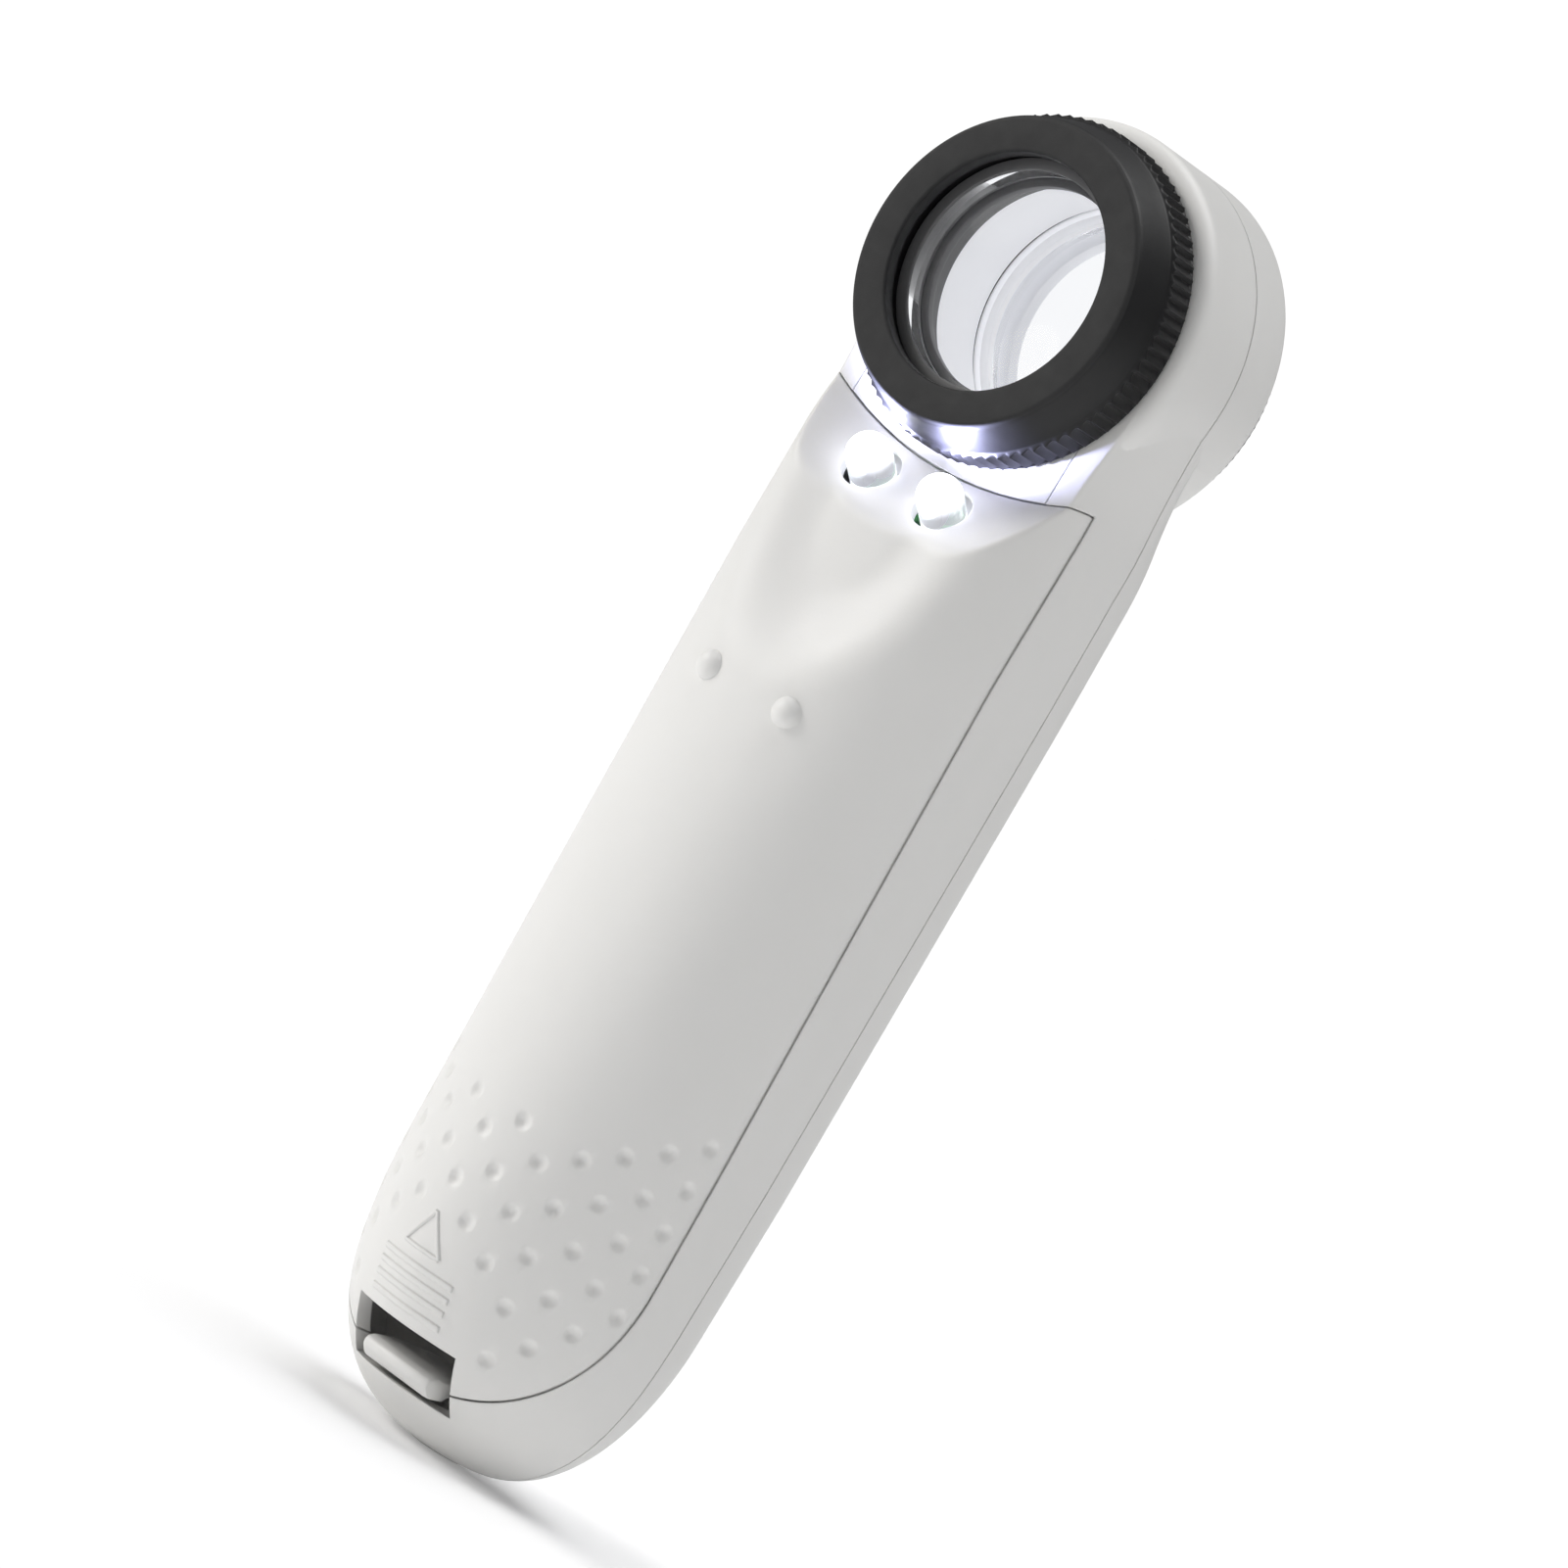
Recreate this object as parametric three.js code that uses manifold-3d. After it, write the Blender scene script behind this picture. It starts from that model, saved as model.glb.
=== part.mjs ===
// Low vision magnifier: a slim illuminated hand magnifier with a round head and a long battery handle.
// Frame: millimetres, +Z along the handle from its rounded tail to the head, the lens looks along -Y,
// and +X is to the right. The origin is under the middle of the bounding box. "Depth" is measured
// along +Y from the plane of the barrel's front rim, so a depth of 0 is the front of the object.
import * as THREE from 'three';
import { mergeVertices } from 'three/addons/utils/BufferGeometryUtils.js';
import Module from 'manifold-3d';

const wasm = await Module();
wasm.setup();

// ---- driving dimensions -------------------------------------------------------------------------
const OVERALL_DEPTH = 34.6;         // barrel rim to the fattest part of the back
const HALF_WIDTH = 19.5;            // handle
const WALL = 1.8;                   // moulded shells
const GAP = 0.3;                    // clearance between neighbouring pieces
const SPLIT_GAP = 0.15;             // each shell keeps this from the split line
const TAIL_TIP_Z = -1.4;            // heights are from a datum just above the tail's tip
const HEAD_CENTRE_Z = 134.2;        // lens axis
const HEAD_RADIUS = 20.65;
const HEAD_FRONT = 9.05;            // depth of the head's front face
const HEAD_BACK = 26.4;             // depth of the head's back face
const TOP_ARC_RADIUS = 45;          // upper edge of the battery cover
const TOP_ARC_LOW_Z = 114;
const LEDGE_SLOPE = 0.643;          // LED ledge: depth gained per millimetre of height
const COVER_HALF_WIDTH = 18.3;
const COVER_TAIL_Z = 5;
const COVER_TAIL_CENTRE_Z = 27;
const COVER_TAIL_POWER = 2.6;
const WINDOW_HALF_WIDTH = 7.5;      // latch window in the cover's tail
const WINDOW_TOP_Z = 9.7;
const LED_X = 5.3;
const LED_Z = 110.6;
const LED_RADIUS = 2.5;
const LED_HOLE_RADIUS = 3.2;
const HOLE_RELIEF = 0.85;           // behind the LED holes, so the cover clears the domes as it tilts
const LED_BASE_RISE = -4.4;         // heights along an LED's own axis, from the ledge
const LED_DOME_RISE = 1.7;
const LED_FLANGE_RADIUS = 2.8;
const LED_FLANGE_THICKNESS = 1;
const LED_SEGMENTS = 20;
const CELL_RADIUS = 7.1;            // AA cell
const CELL_X = 7.5;
const CELL_DEPTH = 18;
const CELL_LOW_Z = 24.6;
const CELL_LENGTH = 49.5;
const CELL_NUB_RADIUS = 2.75;
const CELL_NUB_HEIGHT = 1;
const HEAD_TUBE_BORE = 16.1;        // the focus barrel turns inside it
const TERMINAL_Z = 78.8;            // contact plates above the cells
const LINK_Z = 19.5;                // contact plate below them
const CONTACT_THICKNESS = 0.4;
const CONTACT_FRONT = 12.6;
const CONTACT_BACK = 23.6;
const SCREW_BOSS_RADIUS = 3.4;
const SCREW_HOLE_RADIUS = 1.55;
const SCREW_POCKET_RADIUS = 2.8;
const SCREW_HEAD_RADIUS = 2.4;
const SCREW_HEAD_HEIGHT = 1.4;
const SCREW_SHANK_RADIUS = 1.1;
const SCREW_SHANK_LENGTH = 7.5;
const SCREW_SEAT_DEPTH = 2.6;       // how far a screw's seat lies under the back's surface
const SCREWS = [[-10.5, 15.5], [10.5, 15.5], [-11, 99], [11, 99]];
const SWITCH_Z = 98.5;
const SWITCH_TRAVEL = 3;
const KNOB_STEM_LENGTH = 5;
const KNOB_CLEARANCE = 0.8;         // spare length in the knob's slots beyond its travel

// ---- shape of the outside -----------------------------------------------------------------------
const clamp = (value, low, high) => Math.min(Math.max(value, low), high);

function smooth(value, from, to) {
  const t = clamp((value - from) / (to - from), 0, 1);
  return t * t * (3 - 2 * t);
}

// Rounds a dimension off to nothing at the tail, like the end of a superellipse.
function tailFactor(z, height, power, inset) {
  const t = clamp((z - TAIL_TIP_Z - inset) / (height - inset), 0.004, 1);
  return (1 - (1 - t) ** power) ** (1 / power);
}

const splitDepth = z => 23.4 - 1.9 * clamp((z - 40) / 72, 0, 1) - 3 * smooth(z, 114, 133);
const frontDepth = z => Math.max(2.4 - 0.02 * z, 0.45);
const backDepth = z => OVERALL_DEPTH - 0.039 * Math.max(z - 40, 0)
  - (OVERALL_DEPTH - 0.039 * 72 - HEAD_BACK) * smooth(z, 111, 128);
const sectionWidth = z => HALF_WIDTH - 0.2 * smooth(z, 95, 115) + 1.15 * smooth(z, 118, 134);
const frontPower = z => 1.8 + 0.0083 * clamp(z - 17, 0, 96);
const BACK_POWER = 2.5;
const topArcZ = x => TOP_ARC_LOW_Z + TOP_ARC_RADIUS - Math.sqrt(TOP_ARC_RADIUS ** 2 - x * x);

// A shallow thumb scoop runs down from the LED ledge.
function scoop(x, z) {
  const reach = Math.hypot(x / 14.5, Math.min(z - 107, 0) / 22.5);
  return 3.3 * (1 - smooth(reach, 0.35, 1));
}

const ledgeDepth = (x, z) => HEAD_FRONT - LEDGE_SLOPE * (topArcZ(x) - z);

// ---- solids -------------------------------------------------------------------------------------
function solid(geometry) {
  const bare = geometry.clone();
  bare.deleteAttribute('normal');
  bare.deleteAttribute('uv');
  const merged = mergeVertices(bare, 1e-4);
  const points = merged.attributes.position.array;
  const index = merged.index.array;
  const kept = [];
  let volume = 0;
  const corner = [new THREE.Vector3(), new THREE.Vector3(), new THREE.Vector3()];
  for (let i = 0; i < index.length; i += 3) {
    const [a, b, c] = [index[i], index[i + 1], index[i + 2]];
    if (a === b || b === c || a === c) continue;
    kept.push(a, b, c);
    [a, b, c].forEach((vertex, n) => corner[n].fromArray(points, 3 * vertex));
    volume += corner[0].dot(corner[1].cross(corner[2]));
  }
  if (volume < 0) {
    for (let i = 0; i < kept.length; i += 3) {
      [kept[i], kept[i + 1]] = [kept[i + 1], kept[i]];
    }
  }
  const mesh = new wasm.Mesh({
    numProp: 3,
    vertProperties: new Float32Array(points),
    triVerts: new Uint32Array(kept),
  });
  return new wasm.Manifold(mesh);
}

function geometryOf(manifold) {
  const mesh = manifold.getMesh();
  const geometry = new THREE.BufferGeometry();
  geometry.setAttribute('position', new THREE.BufferAttribute(mesh.vertProperties, 3));
  geometry.setIndex(new THREE.BufferAttribute(mesh.triVerts, 1));
  geometry.computeVertexNormals();
  return geometry;
}

function box(x0, x1, y0, y1, z0, z1) {
  const geometry = new THREE.BoxGeometry(x1 - x0, y1 - y0, z1 - z0);
  return solid(geometry.translate((x0 + x1) / 2, (y0 + y1) / 2, (z0 + z1) / 2));
}

// A profile of [radius, depth] points turned about the lens axis, or about another line along Y.
function turned(profile, segments = 48, x = 0, z = HEAD_CENTRE_Z) {
  const points = profile.map(([radius, depth]) => new THREE.Vector2(radius, depth));
  const geometry = new THREE.LatheGeometry(points, segments);
  return solid(geometry.translate(x, 0, z));
}

function ring(inner, outer, y0, y1, segments = 48) {
  return turned([[inner, y0], [outer, y0], [outer, y1], [inner, y1], [inner, y0]], segments);
}

function disc(radius, y0, y1, segments = 48, x = 0, z = HEAD_CENTRE_Z) {
  return turned([[0, y0], [radius, y0], [radius, y1], [0, y1]], segments, x, z);
}

// A cylinder between two points.
function rod(from, to, radius, segments = 24) {
  const start = new THREE.Vector3(...from);
  const along = new THREE.Vector3(...to).sub(start);
  const geometry = new THREE.CylinderGeometry(radius, radius, along.length(), segments);
  geometry.translate(0, along.length() / 2, 0);
  const turn = new THREE.Quaternion().setFromUnitVectors(new THREE.Vector3(0, 1, 0), along.normalize());
  return solid(geometry.applyQuaternion(turn).translate(...from));
}

// A profile of [depth, z] points carried across X.
function acrossX(profile, x0, x1) {
  const shape = new THREE.Shape(profile.map(([y, z]) => new THREE.Vector2(y, z)));
  const geometry = new THREE.ExtrudeGeometry(shape, { depth: x1 - x0, bevelEnabled: false });
  const swap = new THREE.Matrix4().makeBasis(
    new THREE.Vector3(0, 1, 0), new THREE.Vector3(0, 0, 1), new THREE.Vector3(1, 0, 0));
  return solid(geometry.applyMatrix4(swap).translate(x0, 0, 0));
}

// An outline of [x, z] points carried along the depth.
function alongY(outline, y0, y1) {
  const shape = new THREE.Shape(outline.map(([x, z]) => new THREE.Vector2(x, z)));
  const geometry = new THREE.ExtrudeGeometry(shape, { depth: y1 - y0, bevelEnabled: false });
  const swap = new THREE.Matrix4().makeBasis(
    new THREE.Vector3(1, 0, 0), new THREE.Vector3(0, 0, 1), new THREE.Vector3(0, 1, 0));
  return solid(geometry.applyMatrix4(swap).translate(0, y0, 0));
}

// A closed skin over rings of points that all have the same count, with a flat cap at each end.
function skinned(rings) {
  const count = rings[0].length;
  const positions = rings.flat(2);
  const index = [];
  for (let r = 0; r + 1 < rings.length; r++) {
    for (let i = 0; i < count; i++) {
      const [a, b] = [r * count + i, r * count + (i + 1) % count];
      index.push(a, b, b + count, a, b + count, a + count);
    }
  }
  const last = (rings.length - 1) * count;
  for (let i = 1; i + 1 < count; i++) {
    index.push(0, i + 1, i, last, last + i, last + i + 1);
  }
  const geometry = new THREE.BufferGeometry();
  geometry.setAttribute('position', new THREE.Float32BufferAttribute(positions, 3));
  geometry.setIndex(index);
  return solid(geometry);
}

// ---- handle and head, outside and inside --------------------------------------------------------
const RING_POINTS = 36;
const STATIONS = [-1.4, -0.9, 0, 1.4, 3.6, 6.8, 10.5, 15, 22, 34, 52, 72, 84, 90, 96, 102, 108, 112, 116, 120,
  124, 134];

const outerWidth = (z, inset) => (sectionWidth(z) - inset) * tailFactor(z, 26, 2.7, inset);
const outerBack = (z, inset) => (backDepth(z) - splitDepth(z) - inset) * tailFactor(z, 23, 1.5, inset);

// Depth of the floor that a screw head sits on.
function screwSeat(x, z) {
  const across = 1 - (Math.abs(x) / outerWidth(z, 0)) ** BACK_POWER;
  return splitDepth(z) + outerBack(z, 0) * across ** (1 / BACK_POWER) - SCREW_SEAT_DEPTH;
}

function sectionRing(z, inset) {
  const width = outerWidth(z, inset);
  const front = (splitDepth(z) - frontDepth(z) - inset) * tailFactor(z, 31, 2.3, inset);
  const back = outerBack(z, inset);
  const points = [];
  for (let i = 0; i < RING_POINTS; i++) {
    const angle = 2 * Math.PI * i / RING_POINTS;
    const [c, s] = [Math.cos(angle), Math.sin(angle)];
    const power = 2 / (s < 0 ? frontPower(z) : BACK_POWER);
    const x = width * Math.sign(c) * Math.abs(c) ** power;
    const reach = (s < 0 ? front : back) * Math.abs(s) ** power;
    const y = s < 0 ? splitDepth(z) - reach + scoop(x, z) * Math.min(reach / 12, 1) : splitDepth(z) + reach;
    points.push([x, y, z]);
  }
  return points;
}

// Everything in front of the LED ledge and the head's front face.
function ledgeCutter(inset) {
  const rings = [];
  for (let x = -24; x <= 24; x += 2) {
    const edge = [HEAD_FRONT + inset, topArcZ(x) + inset * 0.2];
    const reach = 26;
    rings.push([[x, edge[0] - reach * LEDGE_SLOPE, edge[1] - reach], [x, edge[0], edge[1]],
      [x, edge[0], 190], [x, edge[0] - reach * LEDGE_SLOPE, 190]]);
  }
  return skinned(rings);
}

function bodySolid(inset) {
  const lowest = TAIL_TIP_Z + inset;
  const stations = [lowest, ...STATIONS.filter(z => z > lowest + 0.3)];
  const handle = skinned(stations.map(z => sectionRing(z, inset))).subtract(ledgeCutter(inset));
  const [r, front, back] = [HEAD_RADIUS - inset, HEAD_FRONT + inset, HEAD_BACK - inset];
  const head = turned([[0, front], [r - 1.9, front], [r - 0.5, front + 0.5], [r, front + 1.9],
    [r, back - 2.4], [r - 0.2, back - 1.4], [r - 0.7, back - 0.7], [r - 1.4, back - 0.2],
    [r - 2.4, back], [0, back]], 44);
  return handle.add(head);
}

// Everything whose depth is less than a limit that changes along the handle.
function inFrontOf(limit) {
  const profile = [];
  for (let z = -4; z <= 160; z += 4) profile.push([limit(z), z]);
  return acrossX([...profile, [-30, 160], [-30, -4]], -30, 30);
}

// The battery cover's outline: straight sides, a rounded tail and a shallow arc at the head.
function coverOutline(grow) {
  const outline = [];
  const width = COVER_HALF_WIDTH - SPLIT_GAP + grow;
  const height = COVER_TAIL_CENTRE_Z - COVER_TAIL_Z - SPLIT_GAP + grow;
  for (let i = 0; i <= 24; i++) {
    const angle = Math.PI * (1 + i / 24);
    const [c, s] = [Math.cos(angle), Math.sin(angle)];
    outline.push([width * Math.sign(c) * Math.abs(c) ** (2 / COVER_TAIL_POWER),
      COVER_TAIL_CENTRE_Z - height * Math.abs(s) ** (2 / COVER_TAIL_POWER)]);
  }
  for (let i = 0; i <= 12; i++) {
    const x = width * (1 - i / 6);
    outline.push([x, topArcZ(x) - SPLIT_GAP + grow]);
  }
  return outline;
}

const coverRim = z => 17.2 - 3.95 * clamp((z - 35) / 82, 0, 1);

const outer = bodySolid(0);
const inner = bodySolid(WALL).subtract(disc(HEAD_RADIUS + 0.6, HEAD_BACK - WALL, 40, 40));
const skin = outer.subtract(inner);
const shapes = {};

// ---- shells -------------------------------------------------------------------------------------
const coverHole = alongY(coverOutline(GAP), -5, 21).intersect(inFrontOf(z => coverRim(z) + GAP));
const barrelHole = disc(16.3, 4, 14, 40);
const plateSlot = box(-14.65, 14.65, 4, 14, 110, HEAD_CENTRE_Z);
const fingerRecess = acrossX([[4, 3.6], [13.5, 3.6], [16.5, 5.2], [16.5, 12], [4, 12]],
  -WINDOW_HALF_WIDTH, WINDOW_HALF_WIDTH);
const floorHalfWidth = WINDOW_HALF_WIDTH + 0.6;
const recessFloor = acrossX([[6, 2.2], [19, 2.2], [19, 3.5], [6, 3.5]], -floorHalfWidth, floorHalfWidth)
  .intersect(outer);
shapes.front_shell = skin.intersect(inFrontOf(z => splitDepth(z) - SPLIT_GAP)).add(recessFloor)
  .subtract(coverHole).subtract(barrelHole).subtract(plateSlot).subtract(fingerRecess);

const backHalf = skin.subtract(inFrontOf(z => splitDepth(z) + SPLIT_GAP));
let backShell = backHalf.subtract(disc(17.2, 20, 30, 40)).subtract(disc(18.8, HEAD_BACK, 40, 40));
for (const [x, z] of SCREWS) {
  const seat = screwSeat(x, z);
  const boss = disc(SCREW_BOSS_RADIUS, seat - 1, 40, 14, x, z).intersect(outer);
  backShell = backShell.add(boss).subtract(disc(SCREW_HOLE_RADIUS, 20, 45, 12, x, z));
  backShell = backShell.subtract(disc(SCREW_POCKET_RADIUS, seat, 45, 16, x, z));
}
const knobLow = SWITCH_Z - 6;
const slotLow = knobLow + 0.9;
const slotHigh = slotLow + KNOB_STEM_LENGTH + SWITCH_TRAVEL + KNOB_CLEARANCE;
const knobSlot = box(-2.6, 2.6, 28, 36, slotLow, slotHigh);
shapes.back_shell = backShell.subtract(knobSlot);

// ---- battery cover ------------------------------------------------------------------------------
const ledY = ledgeDepth(LED_X, LED_Z);
const ledNormal = new THREE.Vector3(0, -1, LEDGE_SLOPE).normalize();
const alongLedge = new THREE.Vector3(0, LEDGE_SLOPE, 1).normalize();
const onLedAxis = (x, rise, along = 0) => [x, ledY + ledNormal.y * rise + alongLedge.y * along,
  LED_Z + ledNormal.z * rise + alongLedge.z * along];

let cover = skin.intersect(alongY(coverOutline(0), -5, 21)).intersect(inFrontOf(coverRim));
for (const x of [-LED_X, LED_X]) {
  const reliefFrom = onLedAxis(x, -6, HOLE_RELIEF);
  const reliefTo = onLedAxis(x, -0.5, HOLE_RELIEF);
  cover = cover.subtract(rod(onLedAxis(x, -6), onLedAxis(x, 6), LED_HOLE_RADIUS, LED_SEGMENTS))
    .subtract(rod(reliefFrom, reliefTo, LED_HOLE_RADIUS, LED_SEGMENTS));
}
for (const x of [-5.7, 5.7]) {
  const pip = new THREE.SphereGeometry(1.75, 14, 8).rotateX(Math.PI / 2).translate(x, 1.75, 84.5);
  cover = cover.add(solid(pip));
}
shapes.battery_cover = cover.subtract(
  box(-WINDOW_HALF_WIDTH, WINDOW_HALF_WIDTH, -5, 21, 0, WINDOW_TOP_Z));

// ---- latch --------------------------------------------------------------------------------------
shapes.cover_latch = acrossX([[10.6, 4.1], [12.4, 4.3], [13.4, 5.1], [22, 5.1], [23, 6], [22, 6.9],
  [13.4, 6.9], [10.4, 6.5], [9.4, 6], [9.4, 5.2]], -5.3, 5.3);

// ---- inner chassis ------------------------------------------------------------------------------
const arcPlate = [];
for (let i = 0; i <= 10; i++) {
  const x = 14.35 * (i / 5 - 1);
  arcPlate.push([x, topArcZ(x) + SPLIT_GAP]);
}
const facePlate = alongY([...arcPlate, [14.35, HEAD_CENTRE_Z], [-14.35, HEAD_CENTRE_Z]], HEAD_FRONT, 11.9)
  .subtract(disc(HEAD_TUBE_BORE, 0, 30, 40));
const headTube = ring(HEAD_TUBE_BORE, 17.8, 11.5, 19, 40);
const TRAY_FRONT = 25.4;
const TRAY_BACK = 27;
let tray = box(-12, 12, TRAY_FRONT, TRAY_BACK, 12, 112.4)
  .add(box(-15.4, 15.4, TRAY_FRONT, TRAY_BACK, 17.5, 81.5));
tray = tray.add(box(-9, 9, 14, 26, 111.4, 112.5)).add(box(-9, 9, 11.6, 16.5, 111.4, 118));
tray = tray.add(box(-14, 14, 11, 26, 17.5, 19.1)).add(box(-14, 14, 11, 26, 79.6, 81.2));
for (const x of [-8, 8]) {
  tray = tray.add(box(x - 1.4, x + 1.4, 13.6, 26, 103.4, 106.4));
}
for (const [x, z] of SCREWS) {
  tray = tray.add(disc(2.7, 24, screwSeat(x, z) - 1.3, 12, x, z));
  tray = tray.subtract(disc(1.5, 20, 33, 10, x, z));
}
tray = tray.subtract(box(-2.2, 2.2, 24, 28, 86, 91)).subtract(disc(HEAD_TUBE_BORE, 0, 30, 40));
shapes.chassis = tray.intersect(bodySolid(WALL + 0.5)).add(facePlate).add(headTube);

// ---- focus barrel and its lens cell -------------------------------------------------------------
shapes.focus_barrel = turned([[13, 0], [16.6, 0], [17.1, 0.4], [17.7, 2.4], [18.3, 4.4], [18.9, 4.7],
  [18.9, 8.3], [18.5, 8.7], [15.6, 8.7], [15.6, 19.2], [14.9, 19.2], [14.9, 20.8], [15.6, 20.8],
  [15.6, 21.2], [13.75, 21.2], [13.75, 1.7], [13, 1.7], [13, 0]], 44);
shapes.barrel_clip = ring(15.25, 17.5, 19.5, 20.5, 32)
  .subtract(box(-2.2, 2.2, 15, 25, HEAD_CENTRE_Z, HEAD_CENTRE_Z + 20));
shapes.lens_cell = turned([[12.1, 3], [13.4, 3], [13.4, 12], [12.8, 12], [12.8, 3.5], [12.1, 3.5],
  [12.1, 3]], 40);
shapes.lens_retainer = ring(11.4, 12.4, 7, 8.4, 32);

function lens(radius, frontEdge, backEdge, frontBulge, backBulge, segments) {
  const profile = [];
  const steps = 3;
  for (let i = 0; i <= steps; i++) {
    const r = radius * i / steps;
    profile.push([r, frontEdge - frontBulge * (1 - (r / radius) ** 2)]);
  }
  for (let i = steps; i >= 0; i--) {
    const r = radius * i / steps;
    profile.push([r, backEdge + backBulge * (1 - (r / radius) ** 2)]);
  }
  return turned(profile, segments);
}

shapes.front_lens = lens(12.4, 3.85, 6.6, 2.0, 2.0, 32);
shapes.rear_lens = lens(13.4, 23.1, 25.2, 1.8, 0.2, 32);

// ---- rear eyepiece ring -------------------------------------------------------------------------
shapes.eyepiece_ring = turned([[13.9, 21.7], [16.8, 21.7], [16.8, 26.7], [18.4, 26.7], [18.75, 27],
  [18.75, 27.9], [18.4, 28.2], [13.3, 28.2], [12.6, 27.2], [12.6, 25.8], [13.9, 25.8], [13.9, 21.7]], 44);
shapes.rear_lens_clip = ring(12.6, 13.5, 21.8, 22.7, 32);

// ---- LEDs, board and resistor -------------------------------------------------------------------
function led(x) {
  const base = onLedAxis(x, LED_BASE_RISE);
  const top = onLedAxis(x, LED_DOME_RISE);
  const flangeTop = onLedAxis(x, LED_BASE_RISE + LED_FLANGE_THICKNESS);
  const body = rod(base, top, LED_RADIUS, LED_SEGMENTS);
  const flange = rod(base, flangeTop, LED_FLANGE_RADIUS, LED_SEGMENTS);
  const turn = new THREE.Quaternion().setFromUnitVectors(new THREE.Vector3(0, 1, 0), ledNormal);
  const dome = new THREE.SphereGeometry(LED_RADIUS, LED_SEGMENTS, 8).applyQuaternion(turn)
    .translate(...top);
  return body.add(flange).add(solid(dome));
}
shapes.led_left = led(-LED_X);
shapes.led_right = led(LED_X);

function ledgePrism(halfX, low, high, nearRise, farRise) {
  const at = (rise, along) => onLedAxis(0, rise, along).slice(1);
  return acrossX([at(nearRise, low), at(nearRise, high), at(farRise, high), at(farRise, low)], -halfX, halfX);
}
shapes.led_board = ledgePrism(9.8, -4.4, 3, LED_BASE_RISE - 0.4, LED_BASE_RISE - 1.6);
const RESISTOR_HALF_LENGTH = 3.2;
const resistorRise = LED_BASE_RISE - 3.2;
shapes.resistor = rod(onLedAxis(-RESISTOR_HALF_LENGTH, resistorRise),
  onLedAxis(RESISTOR_HALF_LENGTH, resistorRise), 1.15, 16);

// ---- switch -------------------------------------------------------------------------------------
const leverZ = slotLow + 0.4;
shapes.switch_body = box(-4.2, 4.2, 27.3, 29.3, SWITCH_Z - 6.5, SWITCH_Z + 5.5)
  .subtract(box(-1.4, 1.4, 28.2, 30, leverZ + 1.2, leverZ + 3.8 + SWITCH_TRAVEL + KNOB_CLEARANCE));
let knob = box(-2.3, 2.3, 29.7, 33.2, leverZ, leverZ + KNOB_STEM_LENGTH)
  .add(box(-1, 1, 28.6, 30, leverZ + 1.6, leverZ + 4.2));
knob = knob.add(box(-4, 4, 32.9, 33.7, leverZ - 2.5, leverZ + 7.5));
for (let i = 0; i < 5; i++) {
  const z = leverZ - 2 + 2 * i;
  knob = knob.add(acrossX([[33.6, z], [34.4, z + 0.35], [34.4, z + 0.65], [33.6, z + 1]], -3.7, 3.7));
}
shapes.switch_knob = knob;

// ---- batteries, springs and contacts ------------------------------------------------------------
function cell(x, positiveUp) {
  const high = CELL_LOW_Z + CELL_LENGTH;
  const nub = positiveUp ? [high - 0.2, high + CELL_NUB_HEIGHT]
    : [CELL_LOW_Z - CELL_NUB_HEIGHT, CELL_LOW_Z + 0.2];
  return rod([x, CELL_DEPTH, CELL_LOW_Z], [x, CELL_DEPTH, high], CELL_RADIUS, 24)
    .add(rod([x, CELL_DEPTH, nub[0]], [x, CELL_DEPTH, nub[1]], CELL_NUB_RADIUS, 14));
}
shapes.battery_left = cell(-CELL_X, true);
shapes.battery_right = cell(CELL_X, false);

class Coil extends THREE.Curve {
  constructor(x, z0, z1, wide, narrow, turns) {
    super();
    Object.assign(this, { x, z0, z1, wide, narrow, turns });
  }

  getPoint(t, target = new THREE.Vector3()) {
    const angle = 2 * Math.PI * this.turns * t;
    const radius = this.wide + (this.narrow - this.wide) * t;
    const z = this.z0 + (this.z1 - this.z0) * t;
    return target.set(this.x + radius * Math.cos(angle), CELL_DEPTH + radius * Math.sin(angle), z);
  }
}

function wire(curve, radius, sides, steps) {
  const shape = new THREE.Shape();
  for (let i = 0; i < sides; i++) {
    const angle = 2 * Math.PI * i / sides;
    shape[i ? 'lineTo' : 'moveTo'](radius * Math.cos(angle), radius * Math.sin(angle));
  }
  return solid(new THREE.ExtrudeGeometry(shape, { extrudePath: curve, steps, bevelEnabled: false }));
}

const WIRE_RADIUS = 0.38;
shapes.spring_left = wire(new Coil(-CELL_X, 20.6, 23.8, 5.2, 3.2, 3), WIRE_RADIUS, 5, 33);
shapes.spring_right = wire(new Coil(CELL_X, 78.1, 74.9, 5.2, 3.2, 3), WIRE_RADIUS, 5, 33);
const plate = (x0, x1, low) => box(x0, x1, CONTACT_FRONT, CONTACT_BACK, low, low + CONTACT_THICKNESS);
shapes.contact_link = plate(-13.2, 13.2, LINK_Z)
  .add(rod([CELL_X, CELL_DEPTH, 19.7], [CELL_X, CELL_DEPTH, 23.2], 2, 20));
const terminal = (x0, x1, tabX) => plate(x0, x1, TERMINAL_Z)
  .add(box(tabX - 1.5, tabX + 1.5, 10.3, 13, TERMINAL_Z, TERMINAL_Z + CONTACT_THICKNESS))
  .add(box(tabX - 1.5, tabX + 1.5, 10.3, 10.3 + CONTACT_THICKNESS, TERMINAL_Z, 84));
shapes.terminal_positive = terminal(-13.2, -1, -9)
  .add(rod([-CELL_X, CELL_DEPTH, 79], [-CELL_X, CELL_DEPTH, 75.6], 2, 20));
shapes.terminal_negative = terminal(1, 13.2, 9);

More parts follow.
